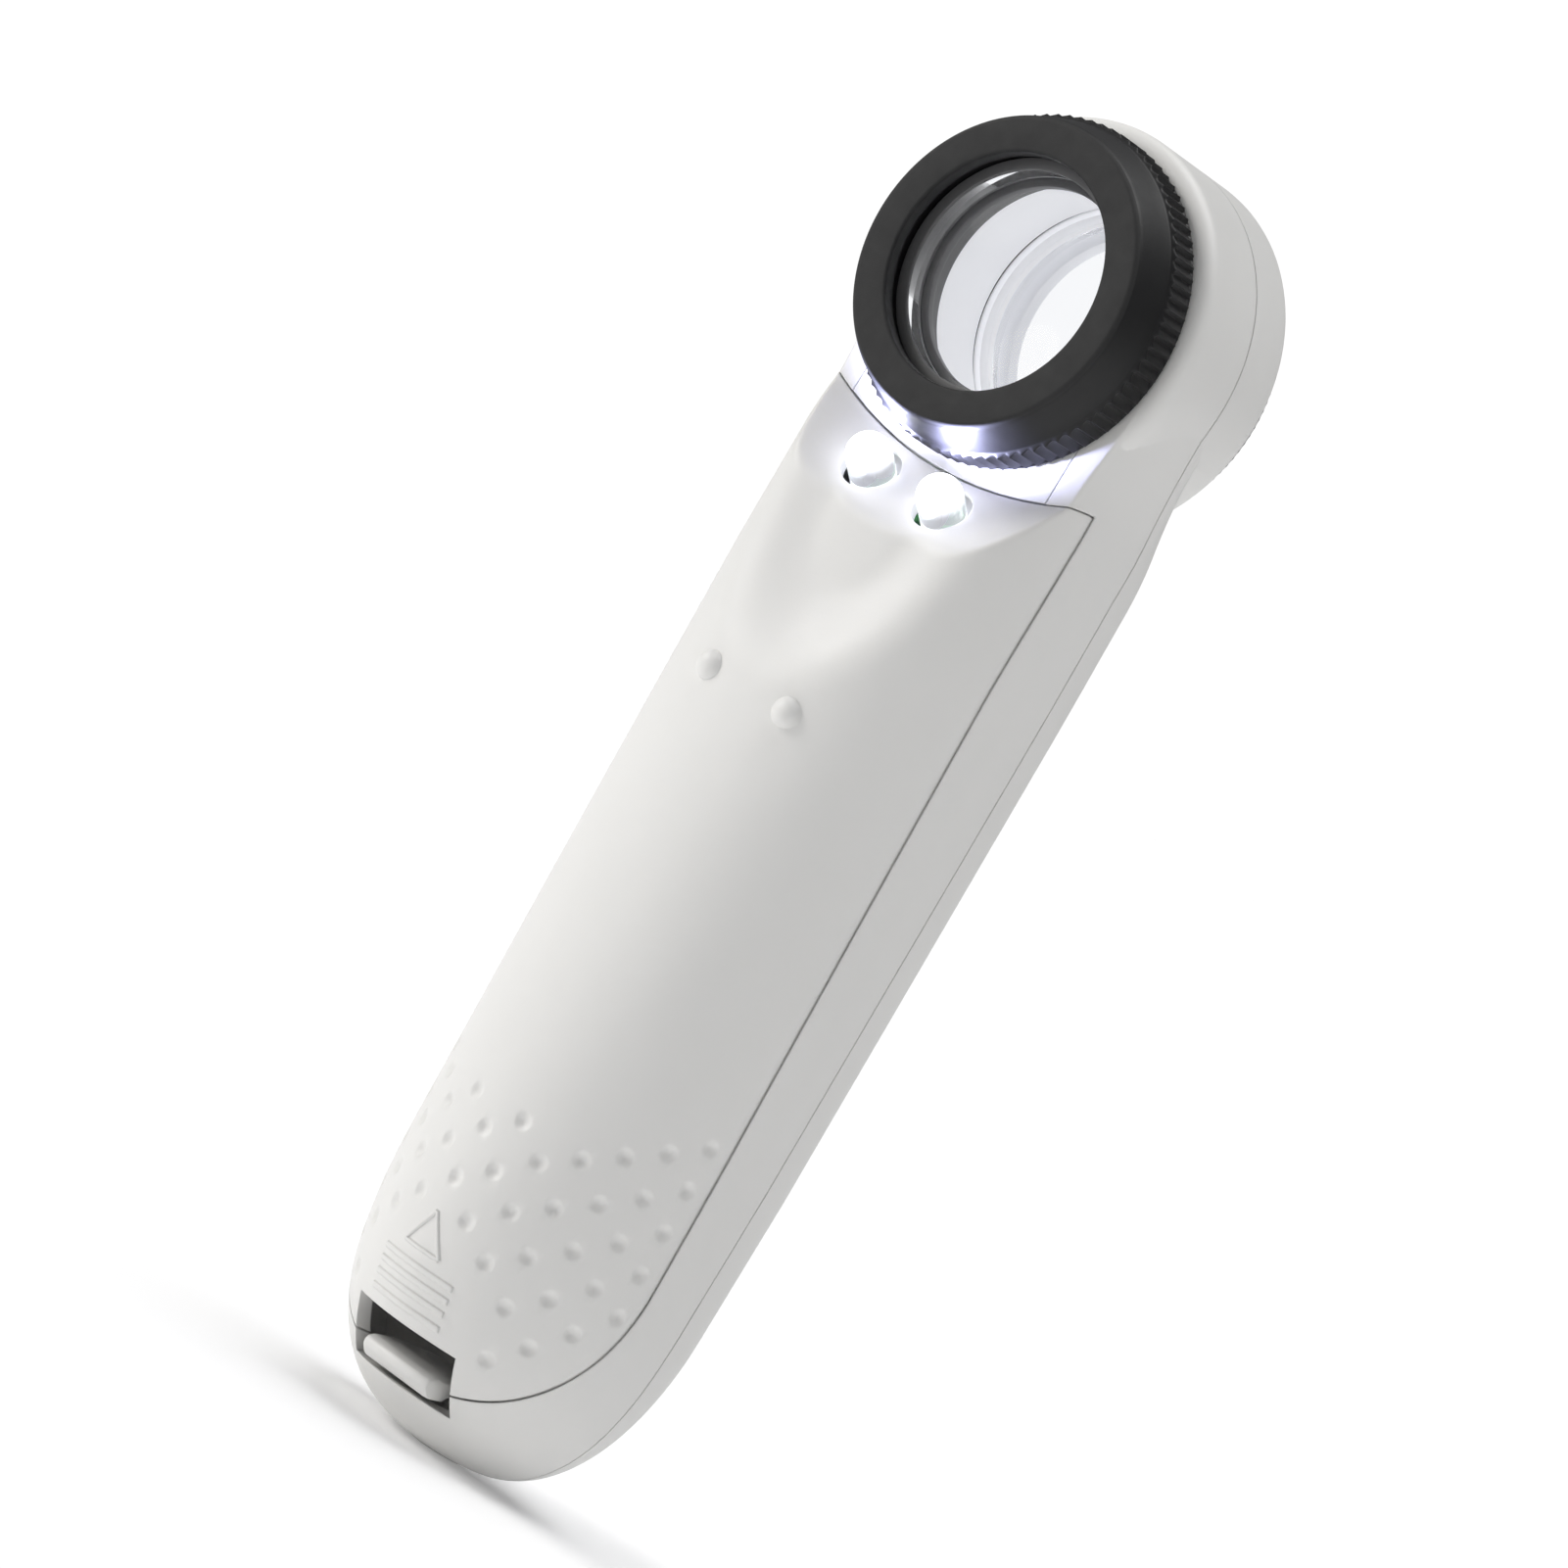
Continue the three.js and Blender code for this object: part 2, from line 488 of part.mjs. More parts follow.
// ---- leads --------------------------------------------------------------------------------------
const LEAD_RADIUS = 0.6;
function lead(points) {
  const curve = new THREE.CatmullRomCurve3(points.map(point => new THREE.Vector3(...point)));
  return wire(curve, LEAD_RADIUS, 8, 14);
}
shapes.lead_red = lead([[-9, 11.6, 83], [-9.6, 13, 85.5], [-13.2, 20, 87], [-13.6, 26, 88],
  [-11.6, 28.4, 90], [-7, 28.4, 93], [-4.9, 28.2, 95]]);
shapes.lead_black = lead([[9, 11.6, 83], [9, 13, 86], [8.4, 14.5, 92], [6, 15, 98], [4.4, 14.6, 101.2],
  [4, 13.4, 103]]);
shapes.lead_switch = lead([[4.9, 28.2, 95], [7, 28.4, 93], [11.6, 28.4, 91.5], [13.8, 26, 91],
  [13, 20, 92], [2, 18.4, 96], [-3.6, 15.6, 99.8], [-4, 13.4, 102.6]]);

// ---- screws -------------------------------------------------------------------------------------
SCREWS.forEach(([x, z], i) => {
  const seat = screwSeat(x, z) + GAP;
  const head = disc(SCREW_HEAD_RADIUS, seat, seat + SCREW_HEAD_HEIGHT, 14, x, z);
  const shank = disc(SCREW_SHANK_RADIUS, seat - SCREW_SHANK_LENGTH, seat + 0.1, 8, x, z);
  const cross = box(x - 1.5, x + 1.5, seat + 0.7, 40, z - 0.25, z + 0.25)
    .add(box(x - 0.25, x + 0.25, seat + 0.7, 40, z - 1.5, z + 1.5));
  shapes[`screw_${i + 1}`] = head.add(shank).subtract(cross);
});

// ---- materials and scene graph ------------------------------------------------------------------
const standard = (color, roughness, metalness = 0, more = {}) =>
  new THREE.MeshStandardMaterial({ color, roughness, metalness, ...more });
const white = standard(0xe9e9e7, 0.5);
const black = standard(0x1c1c1e, 0.55);
const glass = standard(0xdfe6ea, 0.03, 0, { transparent: true, opacity: 0.35 });
const clear = standard(0xf6f8ff, 0.08, 0, { transparent: true, opacity: 0.5 });
const steel = standard(0xb9bcc0, 0.28, 1);
const finishes = {
  front_shell: white, back_shell: white, battery_cover: white, cover_latch: white,
  chassis: standard(0xe2e2e0, 0.5), focus_barrel: black, lens_cell: black, lens_retainer: black,
  eyepiece_ring: black, rear_lens_clip: black, barrel_clip: steel, front_lens: glass, rear_lens: glass,
  led_left: clear, led_right: clear, led_board: standard(0x2f6b3c, 0.5), resistor: standard(0xcdb58a, 0.5),
  switch_body: steel, switch_knob: standard(0x2a2a2c, 0.5), battery_left: standard(0x8a5a2b, 0.35, 0.4),
  battery_right: standard(0x8a5a2b, 0.35, 0.4), lead_red: standard(0xb01818, 0.45),
  lead_black: black, lead_switch: standard(0xd8d8d8, 0.45),
};

const magnifier = new THREE.Group();
magnifier.position.set(0, -OVERALL_DEPTH / 2, -TAIL_TIP_Z);
for (const [name, shape] of Object.entries(shapes)) {
  const mesh = new THREE.Mesh(geometryOf(shape), finishes[name] ?? steel);
  mesh.name = name;
  magnifier.add(mesh);
}

export default magnifier;
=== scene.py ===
import math

import bmesh
import bpy
import numpy as np
from mathutils import Matrix, Vector


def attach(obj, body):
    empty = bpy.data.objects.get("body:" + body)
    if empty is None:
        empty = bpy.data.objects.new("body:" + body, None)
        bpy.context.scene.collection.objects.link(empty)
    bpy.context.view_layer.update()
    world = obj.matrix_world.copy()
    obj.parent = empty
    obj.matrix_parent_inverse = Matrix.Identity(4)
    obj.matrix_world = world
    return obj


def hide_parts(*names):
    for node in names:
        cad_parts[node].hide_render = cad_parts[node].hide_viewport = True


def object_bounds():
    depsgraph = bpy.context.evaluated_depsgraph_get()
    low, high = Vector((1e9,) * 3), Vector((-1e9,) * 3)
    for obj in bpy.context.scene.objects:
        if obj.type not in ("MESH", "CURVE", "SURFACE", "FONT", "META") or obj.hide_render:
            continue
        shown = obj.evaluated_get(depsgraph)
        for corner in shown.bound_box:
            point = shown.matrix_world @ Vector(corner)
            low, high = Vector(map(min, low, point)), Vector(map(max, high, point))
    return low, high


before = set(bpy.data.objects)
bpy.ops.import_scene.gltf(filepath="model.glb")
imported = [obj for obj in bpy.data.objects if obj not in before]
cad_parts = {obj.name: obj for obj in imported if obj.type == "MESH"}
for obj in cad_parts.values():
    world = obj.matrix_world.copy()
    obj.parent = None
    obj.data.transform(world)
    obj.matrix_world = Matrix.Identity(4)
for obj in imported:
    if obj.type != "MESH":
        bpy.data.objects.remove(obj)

cad_low, cad_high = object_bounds()
scene = bpy.context.scene

# ---- driving dimensions, as in the CAD source ---------------------------------------------------
MM = 0.001
FRONT_Y = cad_low.y                  # metres, where depth is 0
OVERALL_DEPTH = (cad_high.y - cad_low.y) / MM
TAIL_TIP_Z = -1.4                   # heights are from a datum just above the tail's tip
HEAD_RADIUS = (cad_high.x - cad_low.x) / MM / 2
HEAD_CENTRE_Z = (cad_high.z - cad_low.z) / MM - HEAD_RADIUS + TAIL_TIP_Z
HALF_WIDTH = 19.5
WALL = 1.8
HEAD_FRONT = 9.05
HEAD_BACK = 26.4
TOP_ARC_RADIUS = 45
TOP_ARC_LOW_Z = 114
LEDGE_SLOPE = 0.643
COVER_HALF_WIDTH = 18.3
COVER_TAIL_Z = 5
COVER_TAIL_CENTRE_Z = 27
COVER_TAIL_POWER = 2.6
WINDOW_HALF_WIDTH = 7.5
WINDOW_TOP_Z = 9.7
LINE_HALF_GAP = 0.09                 # each side of the line round the cover
SPLIT_HALF_GAP = 0.07                # each side of the line between the shells
LED_X = 5.3
LED_Z = 110.6
LED_RADIUS = 2.5
LED_HOLE_RADIUS = 3.2
HOLE_RELIEF = 0.85
LED_BASE_RISE = -4.4                # heights along an LED's own axis, from the ledge
LED_DOME_RISE = 1.7
LED_FLANGE_RADIUS = 2.8
LINER_DEPTH = 12                    # the bore's wall is pale, with a painted glow, behind the lens cell
LENS_BORE = 14.2                    # inside this radius the barrel's wall is seen through the lens
CELL_RADIUS = 7.1
CELL_X = 7.5
CELL_DEPTH = 18
CELL_LOW_Z = 24.6
CELL_LENGTH = 49.5
CELL_NUB_RADIUS = 2.75
SPRING_WIRE_RADIUS = 0.38
LEAD_RADIUS = 0.6
PIP_X, PIP_Z = 5.7, 84.5            # the two pips on the cover
SCREW_SEAT_DEPTH = 2.6              # how far a screw's seat lies under the back's surface
SCREW_CLEARANCE = 0.3               # between a screw's head and its seat
SCREW_BOSS_RADIUS = 3.4
SCREW_HOLE_RADIUS = 1.55
SCREW_POCKET_RADIUS = 2.8
SCREW_HEAD_RADIUS = 2.4
SCREW_HEAD_HEIGHT = 1.4
SCREW_SHANK_RADIUS = 1.1
SCREW_SHANK_LENGTH = 7.5
SCREWS = [[-10.5, 15.5], [10.5, 15.5], [-11, 99], [11, 99]]
SWITCH_Z = 98.5
BACK_POWER = 2.5
SHARP_ANGLE = math.radians(32)


# ---- shape of the outside -----------------------------------------------------------------------
def smooth(value, start, end):
    t = np.clip((value - start) / (end - start), 0, 1)
    return t * t * (3 - 2 * t)


def tail_factor(z, height, power, inset):
    t = np.clip((z - TAIL_TIP_Z - inset) / (height - inset), 0.004, 1)
    return (1 - (1 - t) ** power) ** (1 / power)


def split_depth(z):
    return 23.4 - 1.9 * np.clip((z - 40) / 72, 0, 1) - 3 * smooth(z, 114, 133)


def front_depth(z):
    return np.maximum(2.4 - 0.02 * z, 0.45)


def back_depth(z):
    taper = 0.039 * np.maximum(z - 40, 0)
    return OVERALL_DEPTH - taper - (OVERALL_DEPTH - 0.039 * 72 - HEAD_BACK) * smooth(z, 111, 128)


def section_width(z):
    return HALF_WIDTH - 0.2 * smooth(z, 95, 115) + 1.15 * smooth(z, 118, 134)


def front_power(z):
    return 1.8 + 0.0083 * np.clip(z - 17, 0, 96)


def top_arc_z(x):
    return TOP_ARC_LOW_Z + TOP_ARC_RADIUS - np.sqrt(TOP_ARC_RADIUS**2 - x * x)


def scoop(x, z):
    reach = np.hypot(x / 14.5, np.minimum(z - 107, 0) / 22.5)
    return 3.3 * (1 - smooth(reach, 0.35, 1))


def ledge_depth(x, z):
    return HEAD_FRONT - LEDGE_SLOPE * (top_arc_z(x) - z)


def cover_rim(z):
    return 17.2 - 3.95 * np.clip((z - 35) / 82, 0, 1)


def soft_max(a, b, width):
    share = np.clip(0.5 + 0.5 * (a - b) / width, 0, 1)
    return a * share + b * (1 - share) + width * share * (1 - share)


def outer_width(z, inset=0):
    return (section_width(z) - inset) * tail_factor(z, 26, 2.7, inset)


def outer_front(z, inset=0):
    return (split_depth(z) - front_depth(z) - inset) * tail_factor(z, 31, 2.3, inset)


def outer_back(z, inset=0):
    return (back_depth(z) - split_depth(z) - inset) * tail_factor(z, 23, 1.5, inset)


def skin_front(x, z, inset=0):
    """Depth of the handle's front surface at x, z."""
    share = np.clip(np.abs(x) / outer_width(z, inset), 0, 1)
    power = front_power(z)
    reach = outer_front(z, inset) * (1 - share**power) ** (1 / power)
    plain = split_depth(z) - reach + scoop(x, z) * np.minimum(reach / 12, 1)
    cut = np.minimum(ledge_depth(x, z), HEAD_FRONT) + inset
    return soft_max(plain, cut, 0.5)


def screw_seat(x, z):
    across = 1 - (abs(x) / outer_width(z)) ** BACK_POWER
    return split_depth(z) + outer_back(z) * across ** (1 / BACK_POWER) - SCREW_SEAT_DEPTH


# ---- meshes -------------------------------------------------------------------------------------
def in_metres(point):
    return Vector((point[0] * MM, point[1] * MM + FRONT_Y, (point[2] - TAIL_TIP_Z) * MM))


def add_mesh(name, points, faces):
    """A mesh object from points in millimetres."""
    scaled = np.array(points, float).reshape(-1, 3) * MM
    scaled[:, 1] += FRONT_Y
    scaled[:, 2] -= TAIL_TIP_Z * MM
    mesh = bpy.data.meshes.new(name)
    mesh.from_pydata(scaled.tolist(), [], faces)
    work = bmesh.new()
    work.from_mesh(mesh)
    bmesh.ops.recalc_face_normals(work, faces=work.faces)
    work.to_mesh(mesh)
    work.free()
    obj = bpy.data.objects.new(name, mesh)
    scene.collection.objects.link(obj)
    return obj


def combine(target, tool, operation):
    """Joins tool to target, or cuts or keeps its share, and removes tool."""
    modifier = target.modifiers.new("combine", "BOOLEAN")
    modifier.operation = operation
    modifier.solver = "MANIFOLD"
    modifier.object = tool
    graph = bpy.context.evaluated_depsgraph_get()
    mesh = bpy.data.meshes.new_from_object(target.evaluated_get(graph))
    target.modifiers.clear()
    target.data = mesh
    bpy.data.objects.remove(tool)
    return target


def cut(target, *tools):
    for tool in tools:
        combine(target, tool, "DIFFERENCE")
    return target


def join(target, *tools):
    for tool in tools:
        combine(target, tool, "UNION")
    return target


def keep(target, tool):
    return combine(target, tool, "INTERSECT")


def copy_of(obj, name):
    twin = bpy.data.objects.new(name, obj.data.copy())
    scene.collection.objects.link(twin)
    return twin


def skinned(name, rings):
    """A closed skin over rings of points that all have the same count, with a flat cap at each end."""
    rings = np.asarray(rings, float)
    count = rings.shape[1]
    faces = []
    for r in range(len(rings) - 1):
        for i in range(count):
            j = (i + 1) % count
            faces.append((r * count + i, r * count + j, (r + 1) * count + j, (r + 1) * count + i))
    last = (len(rings) - 1) * count
    faces.append(tuple(range(count)))
    faces.append(tuple(range(last + count - 1, last - 1, -1)))
    return add_mesh(name, rings.reshape(-1, 3), faces)


def prism_x(name, profile, x0, x1):
    """A profile of (depth, z) points carried across X."""
    return skinned(name, [[(x, y, z) for y, z in profile] for x in (x0, x1)])


def prism_y(name, outline, y0, y1):
    """An outline of (x, z) points carried along the depth."""
    return skinned(name, [[(x, y, z) for x, z in outline] for y in (y0, y1)])


def box(name, x0, x1, y0, y1, z0, z1):
    return prism_x(name, [(y0, z0), (y1, z0), (y1, z1), (y0, z1)], x0, x1)


def turned(name, profile, segments=96, centre=(0, None), ripple=None):
    """A profile of (radius, depth) points turned about a line along Y. It is a closed ring, or it starts and
    ends on the axis. ripple(radius, depth, angle) is taken off the radius."""
    profile = [tuple(p) for p in profile]
    on_axis = profile[0][0] < 1e-6 and profile[-1][0] < 1e-6
    angles = np.linspace(0, 2 * math.pi, segments, endpoint=False)
    cx, cz = centre[0], HEAD_CENTRE_Z if centre[1] is None else centre[1]
    rows, points = [], []
    for radius, depth in profile:
        if radius < 1e-6:
            rows.append([len(points)] * segments)
            points.append((cx, depth, cz))
            continue
        rows.append(list(range(len(points), len(points) + segments)))
        off = ripple(radius, depth, angles) if ripple else np.zeros(segments)
        r = radius - off
        points.extend(zip(cx + r * np.cos(angles), np.full(segments, depth), cz + r * np.sin(angles)))
    pairs = list(zip(rows, rows[1:])) + ([] if on_axis else [(rows[-1], rows[0])])
    faces = []
    for a, b in pairs:
        for i in range(segments):
            j = (i + 1) % segments
            corners = list(dict.fromkeys((a[i], a[j], b[j], b[i])))
            if len(corners) > 2:
                faces.append(corners)
    return add_mesh(name, points, faces)


def rounded(profile, radius, closed=True, steps=4):
    """The profile with each corner as an arc. radius is one size, or one for each corner."""
    count = len(profile)
    radii = [radius] * count if np.isscalar(radius) else radius
    result = []
    for i in range(count):
        here = np.array(profile[i], float)
        if (not closed and i in (0, count - 1)) or radii[i] <= 0:
            result.append(tuple(here))
            continue
        before = np.array(profile[i - 1], float) - here
        after = np.array(profile[(i + 1) % count], float) - here
        reach = min(np.linalg.norm(before), np.linalg.norm(after))
        before /= np.linalg.norm(before)
        after /= np.linalg.norm(after)
        size = min(radii[i], 0.45 * reach)
        start, end = here + before * size, here + after * size
        for k in range(steps + 1):
            t = k / steps
            result.append(tuple((1 - t) ** 2 * start + 2 * t * (1 - t) * here + t * t * end))
    return result


def tube(name, points, radius, sides=12):
    """A round wire along a line of points."""
    points = np.asarray(points, float)
    tangents = np.gradient(points, axis=0)
    tangents /= np.linalg.norm(tangents, axis=1)[:, None]
    side = np.cross(tangents[0], (0.3, 0.5, 0.8))
    rings = []
    for point, tangent in zip(points, tangents):
        side = side - tangent * (side @ tangent)
        side /= np.linalg.norm(side)
        up = np.cross(tangent, side)
        angles = np.linspace(0, 2 * math.pi, sides, endpoint=False)
        rings.append(point + radius * (np.outer(np.cos(angles), side) + np.outer(np.sin(angles), up)))
    return skinned(name, rings)


def spline(points, steps=8):
    """A Catmull-Rom curve through the points."""
    points = [np.array(p, float) for p in points]
    padded = [2 * points[0] - points[1], *points, 2 * points[-1] - points[-2]]
    line = []
    for a, b, c, d in zip(padded, padded[1:], padded[2:], padded[3:]):
        for k in range(steps):
            t = k / steps
            line.append(0.5 * (2 * b + (c - a) * t + (2 * a - 5 * b + 4 * c - d) * t**2
                               + (3 * b - a - 3 * c + d) * t**3))
    return line + [points[-1]]


def rod(name, start, end, radius, segments=48):
    line = np.linspace(start, end, 2)
    return tube(name, line, radius, segments)


def turned_along(name, profile, origin, axis, segments=64):
    """A profile of (radius, rise) points that starts and ends on the axis, turned about any axis."""
    obj = turned(name, profile, segments, (0, 0))
    turn = Vector((0, 1, 0)).rotation_difference(Vector(axis)).to_matrix().to_4x4()
    home = Matrix.Translation(Vector((0, -FRONT_Y, TAIL_TIP_Z * MM)))
    obj.data.transform(Matrix.Translation(in_metres(origin)) @ turn @ home)
    return obj


# ---- materials ----------------------------------------------------------------------------------
class Nodes:
    """A material's node tree, with the object's own coordinates in metres as the texture space."""

    def __init__(self, name):
        self.material = bpy.data.materials.new(name)
        self.material.use_nodes = True
        self.tree = self.material.node_tree
        self.shader = self.tree.nodes["Principled BSDF"]
        self.place = self.add("ShaderNodeTexCoord").outputs["Object"]

    def add(self, kind, inputs=None, **settings):
        node = self.tree.nodes.new(kind)
        for key, value in settings.items():
            setattr(node, key, value)
        for key, value in (inputs or {}).items():
            if isinstance(value, bpy.types.NodeSocket):
                self.tree.links.new(value, node.inputs[key])
            else:
                node.inputs[key].default_value = value
        return node

    def noise(self, size, detail=3, stretch=None):
        """Noise whose features are about size millimetres across."""
        place = self.place
        if stretch:
            place = self.add("ShaderNodeMapping", {"Vector": place, "Scale": stretch}).outputs[0]
        inputs = {"Vector": place, "Scale": 1 / (size * MM), "Detail": detail, "Roughness": 0.55}
        return self.add("ShaderNodeTexNoise", inputs).outputs[0]

    def span(self, value, low, high):
        """Maps noise, which lies mostly from 0.3 to 0.7, to a range."""
        inputs = {"Value": value, "From Min": 0.3, "From Max": 0.7, "To Min": low, "To Max": high}
        return self.add("ShaderNodeMapRange", inputs).outputs[0]

    def mix(self, share, a, b):
        node = self.add("ShaderNodeMix", data_type="RGBA")
        for socket, value in ((node.inputs[0], share), (node.inputs[6], a), (node.inputs[7], b)):
            if isinstance(value, bpy.types.NodeSocket):
                self.tree.links.new(value, socket)
            else:
                socket.default_value = value if np.isscalar(value) else (*value, 1)
        return node.outputs[2]

    def link(self, output, name):
        self.tree.links.new(output, self.shader.inputs[name])

    def set(self, **values):
        for name, value in values.items():
            self.shader.inputs[name.replace("_", " ")].default_value = value

    def relief(self, layers, edge=0.0):
        """Bumps of (height socket, millimetres) layers over softened edges."""
        normal = None
        if edge:
            normal = self.add("ShaderNodeBevel", {"Radius": edge * MM}, samples=6).outputs[0]
        for height, depth in layers:
            node = self.add("ShaderNodeBump", {"Height": height, "Distance": depth * MM, "Strength": 1})
            if normal:
                self.tree.links.new(normal, node.inputs["Normal"])
            normal = node.outputs[0]
        self.link(normal, "Normal")


def moulded(name, color, roughness, grain=0.3, grain_depth=0.006, tint=0.03, edge=0.25, **inputs):
    """Spark-eroded moulded plastic: fine even grain, slight flow marks and softened edges."""
    nodes = Nodes(name)
    flow = nodes.noise(14, 2, (1, 1, 0.35))
    darker = [c * (1 - tint) for c in color]
    nodes.link(nodes.mix(nodes.span(flow, 0, 1), darker, color), "Base Color")
    nodes.link(nodes.span(nodes.noise(2.5, 4), roughness - 0.04, roughness + 0.04), "Roughness")
    nodes.relief([(nodes.noise(grain, 2), grain_depth), (nodes.noise(9, 1), 0.01)], edge)
    nodes.set(**inputs)
    return nodes.material


def metal(name, color, roughness, stretch=(1, 1, 1), edge=0.06):
    """Drawn or stamped metal with fine lines and slight staining."""
    nodes = Nodes(name)
    stain = nodes.span(nodes.noise(3, 4), 0, 1)
    nodes.link(nodes.mix(stain, [c * 0.82 for c in color], color), "Base Color")
    lines = nodes.noise(0.25, 2, stretch)
    nodes.link(nodes.span(lines, roughness - 0.06, roughness + 0.1), "Roughness")
    nodes.relief([(lines, 0.003)], edge)
    nodes.set(Metallic=1.0)
    return nodes.material


def clear_glass(name, color, roughness, ior):
    """Clear glass or resin with the faintest waviness."""
    nodes = Nodes(name)
    nodes.link(nodes.span(nodes.noise(6, 2), roughness, roughness + 0.015), "Roughness")
    tint = nodes.mix(nodes.span(nodes.noise(10, 1), 0, 1), [c * 0.985 for c in color], color)
    nodes.link(tint, "Base Color")
    nodes.set(Transmission_Weight=1.0, IOR=ior)
    return nodes


def banded(name, axis, bands, roughness, metallic=0.0, edge=0.1):
    """Printed bands along an axis. bands are (start in metres, colour), in rising order."""
    nodes = Nodes(name)
    parts = nodes.add("ShaderNodeSeparateXYZ", {"Vector": nodes.place})
    along = parts.outputs[axis]
    color = bands[0][1]
    for start, shade in bands[1:]:
        step = nodes.add("ShaderNodeMath", {0: along, 1: start}, operation="GREATER_THAN").outputs[0]
        color = nodes.mix(step, color, shade)
    wear = nodes.span(nodes.noise(4, 4), 0, 0.12)
    nodes.link(nodes.mix(wear, color, (0.5, 0.5, 0.5)), "Base Color")
    nodes.link(nodes.span(nodes.noise(2, 4), roughness - 0.05, roughness + 0.08), "Roughness")
    nodes.relief([(nodes.noise(1.2, 3), 0.006)], edge)
    nodes.set(Metallic=metallic, Coat_Weight=0.25)
    return nodes.material


def circuit_board_material():
    """Green lacquered board with copper tracks showing through as paler lines."""
    nodes = Nodes("circuit_board")
    tracks = nodes.add("ShaderNodeTexBrick", {"Vector": nodes.place, "Scale": 160, "Mortar Size": 0.03,
                                              "Mortar Smooth": 0.2}).outputs["Fac"]
    base = nodes.mix(nodes.span(nodes.noise(2, 3), 0, 1), (0.012, 0.1, 0.03), (0.02, 0.14, 0.045))
    nodes.link(nodes.mix(tracks, base, (0.05, 0.26, 0.07)), "Base Color")
    nodes.link(nodes.span(nodes.noise(0.8, 3), 0.25, 0.4), "Roughness")
    nodes.relief([(tracks, 0.03)], 0.05)
    nodes.set(Coat_Weight=0.5)
    return nodes.material


def led_material():
    """Clear resin that shines from the crown of the dome, fading down its side."""
    nodes = clear_glass("led_clear", (0.97, 0.98, 1.0), 0.03, 1.5)
    folded = nodes.add("ShaderNodeVectorMath", {0: nodes.place}, operation="ABSOLUTE").outputs[0]
    from_tip = nodes.add("ShaderNodeVectorMath", {0: folded, 1: LED_GLOW_CENTRE}, operation="DISTANCE")
    glow = nodes.add("ShaderNodeMapRange", {"Value": from_tip.outputs["Value"], "From Min": 1.5 * MM,
                                            "From Max": 3.2 * MM, "To Min": 3.2, "To Max": 0.25},
                     interpolation_type="SMOOTHSTEP").outputs[0]
    nodes.link(glow, "Emission Strength")
    tint = nodes.mix(nodes.span(nodes.noise(1.5, 2), 0, 1), (0.86, 0.88, 1.0), (0.95, 0.96, 1.0))
    nodes.link(tint, "Emission Color")
    return nodes.material


LED_NORMAL = np.array([0, -1, LEDGE_SLOPE]) / math.hypot(1, LEDGE_SLOPE)
ALONG_LEDGE = np.array([0, LEDGE_SLOPE, 1]) / math.hypot(1, LEDGE_SLOPE)
LED_BASE = np.array([LED_X, float(ledge_depth(LED_X, LED_Z)), LED_Z])


def on_led_axis(x, rise, along=0.0):
    """A point in front of the ledge (rise) and up it (along), over the LED at x."""
    point = LED_BASE + LED_NORMAL * rise + ALONG_LEDGE * along
    return np.array([x, point[1], point[2]])


# The glow is the same for both LEDs, so it is measured in a space where every coordinate is positive.
LED_GLOW_CENTRE = tuple(abs(c) for c in in_metres(on_led_axis(LED_X, 2.6)))

WHITE = (0.80, 0.795, 0.775)
BLACK = (0.008, 0.008, 0.0085)
looks = {
    "white_shell": moulded("white_shell", WHITE, 0.46, Subsurface_Weight=0.05,
                           Subsurface_Radius=(0.002, 0.0018, 0.0016)),
    "white_chassis": moulded("white_chassis", (0.79, 0.79, 0.79), 0.5, grain=0.25, edge=0.15),
    "black_rim": moulded("black_rim", (0.011, 0.011, 0.0115), 0.7, grain=0.18, grain_depth=0.012, edge=0.2),
    "black_barrel": moulded("black_barrel", BLACK, 0.48, grain=0.2, grain_depth=0.008, edge=0.08,
                            Specular_IOR_Level=0.35),
    # A pale wall colour plus an even white emission: a painted glow that stands in for light reaching the
    # bore through the lenses.
    "pale_bore_painted_glow": moulded("pale_bore_painted_glow", (0.8, 0.8, 0.81), 0.5, grain=0.2, edge=0,
                         Emission_Color=(0.95, 0.96, 1, 1), Emission_Strength=0.3),
    "black_cell": moulded("black_cell", (0.1, 0.1, 0.102), 0.35, grain=0.2, edge=0.1),
    "black_knob": moulded("black_knob", (0.022, 0.022, 0.024), 0.5, grain=0.25, grain_depth=0.012),
    "optical_glass": clear_glass("optical_glass", (0.95, 0.955, 0.965), 0.0, 1.1).material,
    "led_clear": led_material(),
    "circuit_board": circuit_board_material(),
    "switch_metal": metal("switch_metal", (0.55, 0.56, 0.57), 0.32, (1, 1, 0.1)),
    "spring_steel": metal("spring_steel", (0.62, 0.62, 0.63), 0.22),
    "contact_metal": metal("contact_metal", (0.66, 0.64, 0.58), 0.28, (0.1, 1, 1)),
    "screw_steel": metal("screw_steel", (0.42, 0.42, 0.44), 0.3),
    "lead_red": moulded("lead_red", (0.45, 0.012, 0.012), 0.4, grain=0.5, tint=0.15, edge=0),
    "lead_black": moulded("lead_black", (0.015, 0.015, 0.016), 0.4, grain=0.5, tint=0.15, edge=0),
    "lead_white": moulded("lead_white", (0.7, 0.7, 0.68), 0.4, grain=0.5, tint=0.08, edge=0),
}


